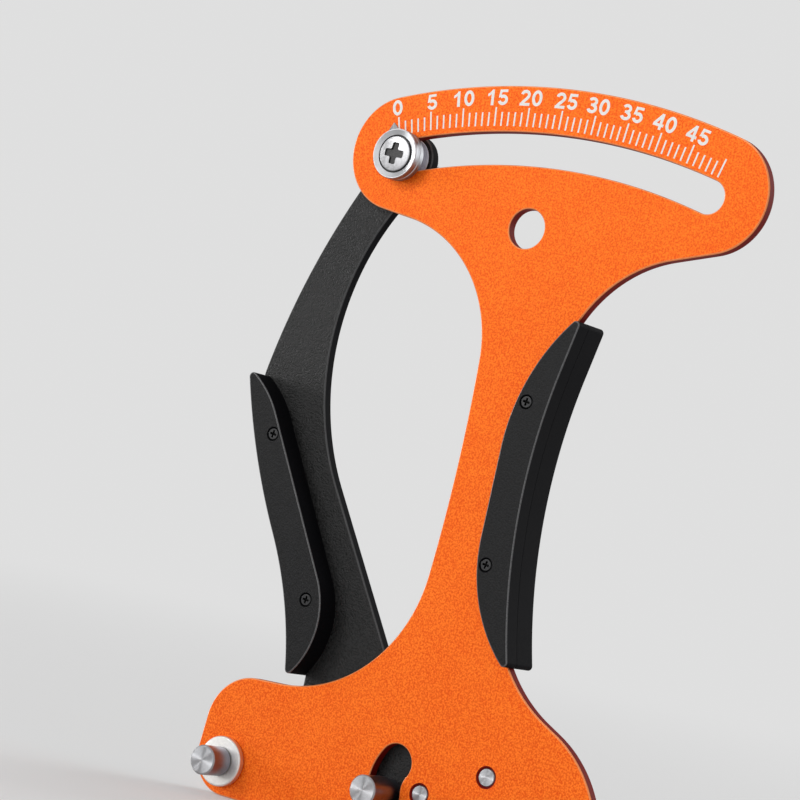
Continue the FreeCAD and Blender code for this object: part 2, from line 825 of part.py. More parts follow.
def grip_half(outline, y_from, y_to, core, screws, pocket_y, chamfer_y):
    """Half of a grip: a slab chamfered on its outer face, closed round the core."""
    half = slab(outline, y_from, y_to)
    half = rim_chamfer(half, GRIP_CHAMFER, (chamfer_y,))
    half = half.cut(core)
    for point in screws:
        half = half.cut(rod(point, SCREW_HOLE_R, GRIP_FRONT_Y - PLATE_T,
                            GRIP_REAR_Y + PLATE_T))
        if pocket_y is None:
            half = half.cut(screw_seat(point))
        else:
            half = half.cut(hexagon(point, NUT_AF + NUT_GAP + NUT_GAP, pocket_y,
                                    GRIP_REAR_Y + NUT_T))
    return half


def screw_seat(point):
    face = GRIP_FRONT_Y
    sink = face + SCREW_SINK
    deep = sink + SCREW_HEAD_RIM + SCREW_HEAD_DEPTH
    return turned(point, [
        (face - SCREW_SINK, 0),
        (face - SCREW_SINK, SCREW_HEAD_R + FIT_GAP),
        (sink + SCREW_HEAD_RIM, SCREW_HEAD_R + FIT_GAP),
        (deep, SCREW_HOLE_R),
        (deep, 0),
    ])


NUT_FROM = GRIP_REAR_Y - NUT_SINK - NUT_T


def grip_screws(points):
    """Countersunk cross-head screws that reach through the nuts."""
    sink = GRIP_FRONT_Y + SCREW_SINK
    neck = sink + SCREW_HEAD_RIM + SCREW_HEAD_DEPTH
    end = GRIP_REAR_Y - NUT_SINK
    screws = []
    for point in points:
        screw = turned(point, [
            (sink, 0),
            (sink, SCREW_HEAD_R),
            (sink + SCREW_HEAD_RIM, SCREW_HEAD_R),
            (neck, SCREW_R),
            (end, SCREW_R),
            (end, 0),
        ])
        recess = cross(point, SCREW_SLOT_L, SCREW_SLOT_W, sink - SCREW_SLOT_D,
                       sink + SCREW_SLOT_D, 0)
        screws.append(screw.cut(recess))
    return Part.makeCompound(screws)


def grip_nuts(points):
    nuts = []
    for point in points:
        nut = hexagon(point, NUT_AF, NUT_FROM, NUT_FROM + NUT_T)
        nuts.append(nut.cut(rod(point, SCREW_R + FIT_GAP, NUT_FROM - NUT_T,
                                NUT_FROM + NUT_T + NUT_T)))
    return Part.makeCompound(nuts)


def pointer_washer():
    """Dished washer with a tip that points at the scale."""
    disc = turned(POINTER, [
        (POINTER_BACK_Y, POINTER_HOLE_R),
        (POINTER_BACK_Y, POINTER_R),
        (POINTER_EDGE_Y, POINTER_R),
        (POINTER_RIM_Y, POINTER_RIM_R),
        (POINTER_DISH_Y, POINTER_DISH_R),
        (POINTER_DISH_Y, POINTER_HOLE_R),
    ])
    x, z = polar(POINTER_TIP - POINTER_TIP_R, REST_DEG + POINTER_TIP_TURN)
    nose = slab(belt([
        (POINTER[0] + x, POINTER[1] + z, POINTER_TIP_R),
        POINTER + (POINTER_RIM_R,),
    ]), POINTER_EDGE_Y, POINTER_TIP_Y)
    nose = nose.cut(rod(POINTER, POINTER_RIM_R, POINTER_RIM_Y, 0))
    return disc.fuse(nose).removeSplitter()


def backing_washer():
    return ring(POINTER, POINTER_HOLE_R, BACKING_R, POINTER_BACK_Y, -PLATE_CLEAR,
                BACKING_CHAMFER)


def slot_bush():
    return ring(POINTER, POINTER_HOLE_R, SLOT_BUSH_R, -PLATE_CLEAR, ARM_FRONT, FIT_GAP)


def glide_washer():
    return ring(POINTER, SLOT_BUSH_R + FIT_GAP, GLIDE_R, PLATE_T + SLIDE_GAP,
                ARM_FRONT, FIT_GAP)


POINTER_NUT_Y = ARM_REAR + POINTER_WASHER_T
POINTER_NUT_TOP = POINTER_NUT_Y + POINTER_NUT_T + POINTER_NUT_COLLAR_T


def pointer_screw():
    end = POINTER_NUT_TOP + POINTER_SCREW_END
    screw = turned(POINTER, [
        (POINTER_HEAD_Y, 0),
        (POINTER_HEAD_Y, POINTER_HEAD_R - POINTER_HEAD_EASE),
        (POINTER_HEAD_EDGE_Y, POINTER_HEAD_R),
        (POINTER_DISH_Y, POINTER_HEAD_R),
        (POINTER_DISH_Y, POINTER_SCREW_R),
        (end - END_CHAMFER, POINTER_SCREW_R),
        (end, POINTER_SCREW_R - END_CHAMFER),
        (end, 0),
    ])
    recess = cross(POINTER, POINTER_CROSS_L, POINTER_CROSS_W,
                   POINTER_HEAD_Y - POINTER_CROSS_D, POINTER_HEAD_Y + POINTER_CROSS_D,
                   POINTER_CROSS_TURN)
    return screw.cut(recess)


def pointer_rear_washer():
    return ring(POINTER, POINTER_HOLE_R, POINTER_WASHER_R, ARM_REAR, POINTER_NUT_Y,
                FIT_GAP)


def pointer_nut():
    """Hexagon lock nut with its round collar."""
    body = hexagon(POINTER, POINTER_NUT_AF, POINTER_NUT_Y, POINTER_NUT_Y + POINTER_NUT_T)
    collar_ring = rod(POINTER, POINTER_NUT_COLLAR_R, POINTER_NUT_Y, POINTER_NUT_TOP)
    bore = rod(POINTER, POINTER_SCREW_R + FIT_GAP, ARM_REAR, POINTER_NUT_TOP + POINTER_NUT_T)
    return body.fuse(collar_ring).cut(bore).removeSplitter()


def save(name, shape):
    shape.translate(Vector(-HANG_X, -PLATE_T * HALF_SHARE, -HANG_Z))
    shape.exportStep("parts/%s.step" % name)
    print(name, "valid" if shape.isValid() else "NOT VALID", len(shape.Solids),
          round(shape.Volume, 2))


def main():
    os.makedirs("parts", exist_ok=True)
    plate_core = slab(plate_outline(), 0, PLATE_T)
    arm_core = slab(arm_outline(), ARM_FRONT, ARM_REAR)
    right = right_grip_outline()
    left = left_grip_outline()
    save("front_plate", front_plate())
    save("left_post", fixed_post(LEFT_POST))
    save("right_post", fixed_post(RIGHT_POST))
    save("left_post_collar", collar(LEFT_POST))
    save("right_post_collar", collar(RIGHT_POST))
    save("post_rear_washers", post_rear_washers())
    save("pivot_pin", pivot_pin())
    save("pivot_washer", pivot_washer())
    save("pivot_clip", pivot_clip())
    save("spring_anchor_pin", spring_anchor_pin())
    save("return_spring", return_spring())
    save("right_grip_front", grip_half(right, GRIP_FRONT_Y, RIGHT_SPLIT_Y, plate_core,
                                       RIGHT_SCREWS, None, GRIP_FRONT_Y))
    save("right_grip_rear", grip_half(right, RIGHT_SPLIT_Y, GRIP_REAR_Y, plate_core,
                                      RIGHT_SCREWS, NUT_FROM, GRIP_REAR_Y))
    save("right_grip_screws", grip_screws(RIGHT_SCREWS))
    save("right_grip_nuts", grip_nuts(RIGHT_SCREWS))
    save("lever_arm", lever_arm())
    save("pivot_bush", pivot_bush())
    save("moving_post", moving_post())
    save("spring_lever_pin", spring_lever_pin())
    save("left_grip_front", grip_half(left, GRIP_FRONT_Y, LEFT_SPLIT_Y, arm_core,
                                      LEFT_SCREWS, None, GRIP_FRONT_Y))
    save("left_grip_rear", grip_half(left, LEFT_SPLIT_Y, GRIP_REAR_Y, arm_core,
                                     LEFT_SCREWS, NUT_FROM, GRIP_REAR_Y))
    save("left_grip_screws", grip_screws(LEFT_SCREWS))
    save("left_grip_nuts", grip_nuts(LEFT_SCREWS))
    save("pointer_screw", pointer_screw())
    save("pointer_washer", pointer_washer())
    save("backing_washer", backing_washer())
    save("slot_bush", slot_bush())
    save("glide_washer", glide_washer())
    save("pointer_rear_washer", pointer_rear_washer())
    save("pointer_nut", pointer_nut())


main()
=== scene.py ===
import bpy
import math
from mathutils import Matrix, Vector
from mathutils.geometry import delaunay_2d_cdt


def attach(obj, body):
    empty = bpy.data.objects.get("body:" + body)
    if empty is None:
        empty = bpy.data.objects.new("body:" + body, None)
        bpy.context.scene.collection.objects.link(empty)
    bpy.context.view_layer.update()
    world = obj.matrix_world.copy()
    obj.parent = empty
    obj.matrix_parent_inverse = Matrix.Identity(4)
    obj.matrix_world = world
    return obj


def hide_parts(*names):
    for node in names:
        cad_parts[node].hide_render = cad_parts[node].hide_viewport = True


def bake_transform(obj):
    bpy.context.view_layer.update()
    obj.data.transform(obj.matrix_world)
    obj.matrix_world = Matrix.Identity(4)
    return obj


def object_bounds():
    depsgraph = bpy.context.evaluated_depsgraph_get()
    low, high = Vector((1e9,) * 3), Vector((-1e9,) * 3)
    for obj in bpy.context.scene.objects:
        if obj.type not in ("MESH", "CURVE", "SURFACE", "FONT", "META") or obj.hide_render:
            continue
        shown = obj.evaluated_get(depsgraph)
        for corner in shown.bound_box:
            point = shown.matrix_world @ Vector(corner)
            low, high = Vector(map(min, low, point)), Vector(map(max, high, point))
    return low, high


# Spoke tension meter. Sizes are in millimetres in the sketch frame: x to the
# right and z up from the lever's pivot, y back from the plate's front face.
# ROW_SHIFT moves a point of that frame into the row frame. Angles are in
# degrees from +z toward +x.

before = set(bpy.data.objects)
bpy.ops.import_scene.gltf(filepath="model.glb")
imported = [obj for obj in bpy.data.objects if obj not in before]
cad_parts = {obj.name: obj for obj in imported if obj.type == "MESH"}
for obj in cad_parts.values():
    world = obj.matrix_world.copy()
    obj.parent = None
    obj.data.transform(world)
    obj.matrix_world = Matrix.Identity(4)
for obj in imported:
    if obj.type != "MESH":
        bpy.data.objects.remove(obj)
cad_low, cad_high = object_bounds()

MM = 0.001
ROW_SHIFT = Vector((5.0, -1.5, -140.2))

# layers
PLATE_T = 3.0
ARM_FRONT = 3.5
ARM_REAR = 6.5

# outlines, as circles (x, z, radius); a minus radius bends outward
PLATE_LINE = [
    (0, 0, 175.8),
    (-46.294, 154.305, 14.7),
    (-44.414, 104.551, -34.2),
    (-434.72, 84.9, -425.0),
    (-48.876, 55.005, -38.0),
    (-53.9, 3.7, 13.0),
    (-57.5, -4.2, 10.0),
    (38.9, -3.3, 11.0),
    (19.937, -4.493, 30.0),
    (45.738, 56.407, -36.0),
    (45.989, 104.956, -34.3),
    (43.323, 155.165, 14.7),
]
ARM_LINE = [
    (-45.442, 153.411, 6.7),
    (101.946, 62.254, 180.0),
    (-63.4, 92.0, 12.0),
    (-102.499, 20.002, -60.0),
    (-33.4, 3.0, 9.0),
    (5.5, -9.5, 3.8),
    (0, 0, 11.0),
    (-1.9, 21.004, -10.0),
    (9.072, 105.011, -66.0),
]
RIGHT_GRIP_LINE = [
    (16.4, 118.6, 1.1),
    (54.3, 86.141, 51.0),
    (41.8, 64.095, 38.5),
    (17.0, 36.1, 1.1),
    (162.294, 77.583, -150.0),
]
LEFT_GRIP_LINE = [
    (-73.851, 91.404, 1.1),
    (86.551, 144.302, 170.0),
    (-137.578, 2.896, -95.0),
    (-43.277, 21.408, 1.1),
    (-58.511, 34.212, 21.0),
    (-88.037, 68.548, 28.0),
]

# places
PIVOT = (0.0, 0.0)
HANG = (-5.0, 140.2)
HANG_R = 5.0
LEFT_POST = (-58.7, -5.7)
RIGHT_POST = (38.1, -5.7)
MOVER = (-10.399, -1.778)
ANCHOR = (17.3, 8.3)
LEVER_PIN = (5.5, -9.5)
POINTER = (-45.442, 153.411)
TIP_DEG = -18.1
CUP_R = 6.45
RIGHT_SCREWS = [(7.6, 98.3), (6.4, 57.8)]
LEFT_SCREWS = [(-63.623, 78.038), (-42.688, 39.188)]

# slots: middle radius, half width, end angles
SCALE_SLOT = (160.0, 4.2, -16.9, 15.35)
MOVER_SLOT = (10.4, 4.7, -103.5, -56.5)

# printed scale: it drops a little toward its right end
TICKS = 51
NUMBER_STEP = 5
TICK_FIRST_DEG = -16.81
TICK_STEP_DEG = 0.643
TICK_FROM_R = 165.85
TICK_SHORT = 3.5
TICK_LONG = 4.75
TICK_HALF = 0.22
MARK_DROP = -0.016
DIGIT_FROM_R = 171.1
DIGIT_STEP = 3.4
NUMBER_SHIFTS = (-0.25, 0.35, -0.2, 0.0, 0.1, 0.6, 0.1, 0.15, 0.0, 0.0)
PRINT_T = 0.02

ROUND_STEP_DEG = 18.0
SAME_SPOT = 0.0005

# softened rim of a cross recess, and points on each added ring of a turned face
RECESS_CUT = 0.05
FREE_COUNT = 48

# how far normals lean to the front or the back: a band is a face above the first
# and a wall below the second, and a corner is flat above the third
FACE_TILT = 0.97
WALL_TILT = 0.4
FLAT_TILT = 0.999


def row(x, y, z):
    """Point of the row frame, in metres."""
    return tuple((Vector((x, y, z)) + ROW_SHIFT) * MM)


# ---------------------------------------------------------------- outlines

def polar(radius, degrees):
    a = math.radians(degrees)
    return (radius * math.sin(a), radius * math.cos(a))


def belt(circles, step_deg=3.0, step_mm=1.2):
    """Closed line round circles, as points (x, z, nx, nz) with outward normals."""
    ways = []
    n = len(circles)
    for i in range(n):
        x0, z0, r0 = circles[i]
        x1, z1, r1 = circles[(i + 1) % n]
        span = math.hypot(x1 - x0, z1 - z0)
        run = math.sqrt(max(0.0, span * span - (r1 - r0) ** 2))
        ways.append(math.atan2(z1 - z0, x1 - x0) - math.atan2(r1 - r0, run))
    line = []
    for i, (x, z, r) in enumerate(circles):
        sense = math.copysign(1, r)
        swing = sense * ((sense * (ways[i] - ways[i - 1])) % (2 * math.pi))
        count = max(math.ceil(abs(math.degrees(swing)) / step_deg),
                    math.ceil(abs(swing * r) / step_mm), 1)
        for k in range(count + 1):
            way = ways[i - 1] + swing * k / count
            nx, nz = math.sin(way), -math.cos(way)
            spot = (x + r * nx, z + r * nz, nx, nz)
            if not line or math.dist(line[-1][:2], spot[:2]) > SAME_SPOT:
                line.append(spot)
    if math.dist(line[-1][:2], line[0][:2]) < SAME_SPOT:
        line.pop()
    return line


def circle(centre, radius, count=72):
    line = []
    for k in range(count):
        a = 2 * math.pi * k / count
        nx, nz = math.cos(a), math.sin(a)
        line.append((centre[0] + radius * nx, centre[1] + radius * nz, nx, nz))
    return line


def arc_slot(radius, half, from_deg, to_deg):
    """Outline of a slot with round ends that runs about the pivot."""
    left = polar(radius, from_deg)
    right = polar(radius, to_deg)
    return belt([(0, 0, radius + half), left + (half,), (0, 0, half - radius),
                 right + (half,)])


def cross(centre, length, width, corner, turn_deg):
    """Outline of a cross-head recess, with rounded corners."""
    a = length / 2
    b = width / 2
    circles = []
    for quarter in range(4):
        t = math.radians(90 * quarter - turn_deg)
        for x, z, r in ((a - corner, corner - b, corner), (a - corner, b - corner, corner),
                        (b + corner, b + corner, -corner)):
            circles.append((centre[0] + x * math.cos(t) - z * math.sin(t),
                            centre[1] + x * math.sin(t) + z * math.cos(t), r))
    return belt(circles, step_deg=15)


def hexagon(centre, across_flats, corner):
    """Outline of a hexagon with rounded corners."""
    far = across_flats / math.sqrt(3) - corner / math.cos(math.pi / 6)
    circles = []
    for k in range(6):
        a = math.pi * k / 3
        circles.append((centre[0] + far * math.cos(a), centre[1] + far * math.sin(a), corner))
    return belt(circles, step_deg=15)


def inside(rim, x, z):
    """True where a point lies inside a closed line."""
    odd = False
    for k, (x1, z1) in enumerate(rim):
        x0, z0 = rim[k - 1]
        if (z0 > z) != (z1 > z) and x < x0 + (z - z0) * (x1 - x0) / (z1 - z0):
            odd = not odd
    return odd


def hole(line):
    """The same line as the edge of a hole: its normals point into the hole."""
    return [(x, z, -nx, -nz) for x, z, nx, nz in line]


# ---------------------------------------------------------------- profiles

def soften(points, radius, closed=False):
    """Round the corners of a profile (inset, y). Gives (inset, y, ni, ny)."""
    points = [Vector(p) for p in points]
    n = len(points)
    spans = [points[(i + 1) % n] - points[i] for i in range(n)]
    out = []
    for i, here in enumerate(points):
        before, after = spans[i - 1], spans[i]
        if not closed and i == 0:
            before = after
        if not closed and i == n - 1:
            after = before
        way_in, way_out = before.normalized(), after.normalized()
        normal = Vector((-way_in.y, way_in.x))
        turn = math.atan2(way_in.x * way_out.y - way_in.y * way_out.x, way_in.dot(way_out))
        if abs(turn) < 0.001:
            out.append((here.x, here.y, normal.x, normal.y))
            continue
        half = math.tan(abs(turn) / 2)
        reach = min(radius * half, 0.45 * before.length, 0.45 * after.length)
        arm = -math.copysign(reach / half, turn)
        hub = here - way_in * reach - normal * arm
        steps = max(2, math.ceil(abs(math.degrees(turn)) / ROUND_STEP_DEG))
        for k in range(steps + 1):
            a = turn * k / steps
            facing = Vector((normal.x * math.cos(a) - normal.y * math.sin(a),
                             normal.x * math.sin(a) + normal.y * math.cos(a)))
            spot = hub + facing * arm
            out.append((spot.x, spot.y, facing.x, facing.y))
    return out


def radii(points):
    """Profile of a turned piece, from points (y, radius)."""
    return [(-r, y) for y, r in points]


# ---------------------------------------------------------------- meshes

class Skin:
    """A mesh gathered face by face, with the exact normal of each corner."""

    def __init__(self):
        self.points = []
        self.faces = []
        self.normals = []
        self.mats = []

    def ring(self, line, inset, y):
        first = len(self.points)
        for x, z, nx, nz in line:
            self.points.append(Vector((x - inset * nx, y, z - inset * nz)))
        return list(range(first, first + len(line)))

    def face(self, ids, normals, mat):
        p = [self.points[i] for i in ids]
        facing = (p[2] - p[0]).cross(p[-1] - p[1])
        if facing.length < 1e-9:
            return
        if facing.dot(sum(normals, Vector())) < 0:
            ids = ids[::-1]
            normals = normals[::-1]
        self.faces.append(ids)
        self.normals.append(normals)
        self.mats.append(mat)

    def sweep(self, line, profile, mats, closed=False):
        """Carry an outline along a softened profile. mats is (face, edge, wall),
        with a fourth for a back edge that differs. Gives the first and the last
        ring."""
        rings = [self.ring(line, inset, y) for inset, y, _, _ in profile]
        n = len(line)
        m = len(profile)
        for k in range(m if closed else m - 1):
            a, b = profile[k], profile[(k + 1) % m]
            low, high = rings[k], rings[(k + 1) % m]
            least, most = sorted((abs(a[3]), abs(b[3])))
            edge = mats[3] if len(mats) > 3 and a[3] + b[3] > 0 else mats[1]
            mat = mats[0] if least > FACE_TILT else mats[2] if most < WALL_TILT else edge
            for i in range(n):
                j = (i + 1) % n
                corners = []
                for spot, part in ((i, a), (j, a), (j, b), (i, b)):
                    nx, nz = line[spot][2], line[spot][3]
                    corners.append(Vector((-part[2] * nx, part[3], -part[2] * nz)))
                self.face([low[i], low[j], high[j], high[i]], corners, mat)
        return rings[0], rings[-1]

    def fill(self, loops, ny, mat, free=()):
        """Flat face between an outer loop and its holes; ny is -1 for a front
        face and 1 for a back. free are points (x, z) inside it."""
        ids = [i for loop in loops for i in loop]
        y = self.points[ids[0]].y
        for x, z in free:
            ids.append(len(self.points))
            self.points.append(Vector((x, y, z)))
        spots = [Vector((self.points[i].x, self.points[i].z)) for i in ids]
        edges = []
        first = 0
        for loop in loops:
            n = len(loop)
            edges.extend((first + k, first + (k + 1) % n) for k in range(n))
            first += n
        made = delaunay_2d_cdt(spots, edges, [], 1, 1e-7)
        origin = [old[0] for old in made[3]]
        rims = [[(self.points[i].x, self.points[i].z) for i in loop] for loop in loops[1:]]
        normal = Vector((0, ny, 0))
        for tri in made[2]:
            x = sum(made[0][k].x for k in tri) / 3
            z = sum(made[0][k].y for k in tri) / 3
            if any(inside(rim, x, z) for rim in rims):
                continue
            tri = [ids[origin[k]] for k in tri]
            p = [self.points[i] for i in tri]
            if (p[1] - p[0]).cross(p[2] - p[0]).dot(normal) < 0:
                tri.reverse()
            self.faces.append(tri)
            self.normals.append([normal] * 3)
            self.mats.append(mat)

    def dome(self, centre, radius, y_limit, crown):
        """Bulge the front of a turned piece, so that it falls back by crown at
        a radius."""
        slope = 2 * crown / radius ** 2
        for face, normals in zip(self.faces, self.normals):
            for k, i in enumerate(face):
                p = self.points[i]
                if p.y < y_limit and normals[k].y < -FLAT_TILT:
                    normals[k] = Vector((slope * (p.x - centre[0]), -1,
                                         slope * (p.z - centre[1]))).normalized()
        for p in self.points:
            if p.y < y_limit:
                r = min(radius, math.hypot(p.x - centre[0], p.z - centre[1]))
                p.y += crown * (r / radius) ** 2

    def build(self, name, body, materials, replaces=()):
        mesh = bpy.data.meshes.new(name)
        mesh.from_pydata([row(*p) for p in self.points], [], self.faces)
        for material in materials:
            mesh.materials.append(material)
        mesh.polygons.foreach_set("material_index", self.mats)
        mesh.polygons.foreach_set("use_smooth", [True] * len(self.faces))
        mesh.update()
        mesh.normals_split_custom_set([n[:] for face in self.normals for n in face])
        return place(bpy.data.objects.new(name, mesh), body, replaces)


def place(piece, body, replaces=()):
    bpy.context.scene.collection.objects.link(piece)
    if body:
        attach(piece, body)
    if replaces:
        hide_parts(*replaces)
    return piece


def sheet(skin, line, y_front, y_back, edges, through=(), front=(), back=(),
          mats=(0, 1, 2), rounding=0.12):
    """Flat piece. edges is the chamfer of the front and of the back edge. through
    has (hole outline, chamfer, edge's material), and front and back have (hole
    outline, chamfer, depth, narrowing) for blind holes."""
    far = 2.0
    c0, c1 = edges

    def rim(cut_front, cut_back):
        return soften([(far, y_front), (cut_front, y_front), (0, y_front + cut_front),
                       (0, y_back - cut_back), (cut_back, y_back), (far, y_back)],
                      rounding)[1:-1]

    fronts, backs = [], []
    first, last = skin.sweep(line, rim(c0, c1), mats)
    fronts.append(first)
    backs.append(last)
    for outline, chamfer, edge in through:
        first, last = skin.sweep(hole(outline), rim(chamfer, chamfer),
                                 (mats[0], edge, mats[2]))
        fronts.append(first)
        backs.append(last)
    for outline, chamfer, depth, narrowing in front:
        seat = soften([(far, y_front), (chamfer, y_front), (0, y_front + chamfer),
                       (-narrowing, y_front + depth)], rounding)[1:]
        first, last = skin.sweep(hole(outline), seat, (mats[0], mats[2], mats[2]))
        fronts.append(first)
        skin.fill([last], -1, mats[2])
    for outline, chamfer, depth, narrowing in back:
        seat = soften([(-narrowing, y_back - depth), (0, y_back - chamfer),
                       (chamfer, y_back), (far, y_back)], rounding)[:-1]
        first, last = skin.sweep(hole(outline), seat, mats)
        backs.append(last)
        skin.fill([first], 1, mats[2])
    skin.fill(fronts, -1, mats[0])
    skin.fill(backs, 1, mats[0])


def turn(skin, centre, points, rounding=0.1, count=96, mats=(0, 0, 0), recess=None,
         rings=()):
    """Turned solid piece, from points (y, radius) that start and end on the
    axis. A recess is (outline, depth, narrowing, material) in its front face,
    and rings are radii where that face gets more points."""
    line = circle(centre, 0.0, count)
    profile = soften(radii(points), rounding)[1:-1]
    first, last = skin.sweep(line, profile, mats)
    loops = [first]
    free = [spot[:2] for r in rings for spot in circle(centre, r, FREE_COUNT)]
    if recess:
        outline, depth, narrowing, mat = recess
        y = points[0][0]
        cut = RECESS_CUT
        seat = soften([(1.0, y), (cut, y), (0, y + cut), (-narrowing, y + depth)], cut)[1:]
        rim, bottom = skin.sweep(hole(outline), seat, (mats[0], mats[0], mat))
        loops.append(rim)
        skin.fill([bottom], -1, mat)
        edge = [spot[:2] for spot in outline]
        free = [spot for spot in free if not inside(edge, *spot)]
    skin.fill(loops, -1, mats[0], free)
    skin.fill([last], 1, mats[0])


def ring(skin, centre, inner, outer, y_from, y_to, chamfer=0.1, rounding=0.06, count=96,
         mats=(0, 0, 0)):
    """Washer, collar or bush, with softened edges."""
    bore = min(chamfer, 0.1)
    points = [(y_from, inner + bore), (y_from, outer - chamfer), (y_from + chamfer, outer),
              (y_to - chamfer, outer), (y_to, outer - chamfer), (y_to, inner + bore),
              (y_to - bore, inner), (y_from + bore, inner)]
    skin.sweep(circle(centre, 0.0, count), soften(radii(points), rounding, closed=True), mats,
               closed=True)


def one_piece(shape, names, body, slot, materials, *sizes, **looks):
    """Piece of a single shape, ring or turn. names is (piece, node replaced)."""
    skin = Skin()
    shape(skin, *sizes, **looks)
    skin.build(names[0], body, materials, replaces=[names[1]])


def hex_nut(skin, centre, across_flats, bore, y_from, y_to, mat=0):
    """Nut whose corners are cut by a shallow cone at both ends."""
    apothem = across_flats / 2
    crown = apothem * 0.96
    slope = 1.9
    lead, lead_rounding = 0.25, 0.05
    reach = (across_flats / math.sqrt(3) - crown) / slope
    per_side, cone_steps = 12, 6
    count = 6 * per_side
    depths = [reach * k / cone_steps for k in range(cone_steps + 1)]
    levels = [(y_from + d, d, -1) for d in depths] + [(y_to - d, d, 1) for d in depths[::-1]]
    rings = []
    for y, depth, ny in levels:
        loop = []
        for i in range(count):
            a = 2 * math.pi * i / count
            flat_a = (round(a / (math.pi / 3) - 0.5) + 0.5) * math.pi / 3
            side_r = apothem / math.cos(a - flat_a)
            cone_r = crown + depth * slope
            r = min(side_r, cone_r)
            loop.append(len(skin.points))
            skin.points.append(Vector((centre[0] + r * math.cos(a), y,
                                       centre[1] + r * math.sin(a))))
        rings.append(loop)
    for k in range(len(rings) - 1):
        low, high = rings[k], rings[k + 1]
        for i in range(count):
            j = (i + 1) % count
            ids = [low[i], low[j], high[j], high[i]]
            p = [skin.points[q] for q in ids]
            facing = (p[2] - p[0]).cross(p[3] - p[1])
            middle = sum(p, Vector()) / 4
            away = Vector((middle.x - centre[0], 0, middle.z - centre[1]))
            if facing.dot(away) < 0:
                facing.negate()
            if facing.length > 0:
                facing.normalize()
            skin.face(ids, [facing] * 4, mat)
    wall = [(y_to, bore + lead), (y_to - lead, bore), (y_from + lead, bore),
            (y_from, bore + lead)]
    profile = soften(radii(wall), lead_rounding)
    first, last = skin.sweep(circle(centre, 0.0, count), profile, (mat, mat, mat))
    skin.fill([rings[0], last], -1, mat)
    skin.fill([rings[-1], first], 1, mat)


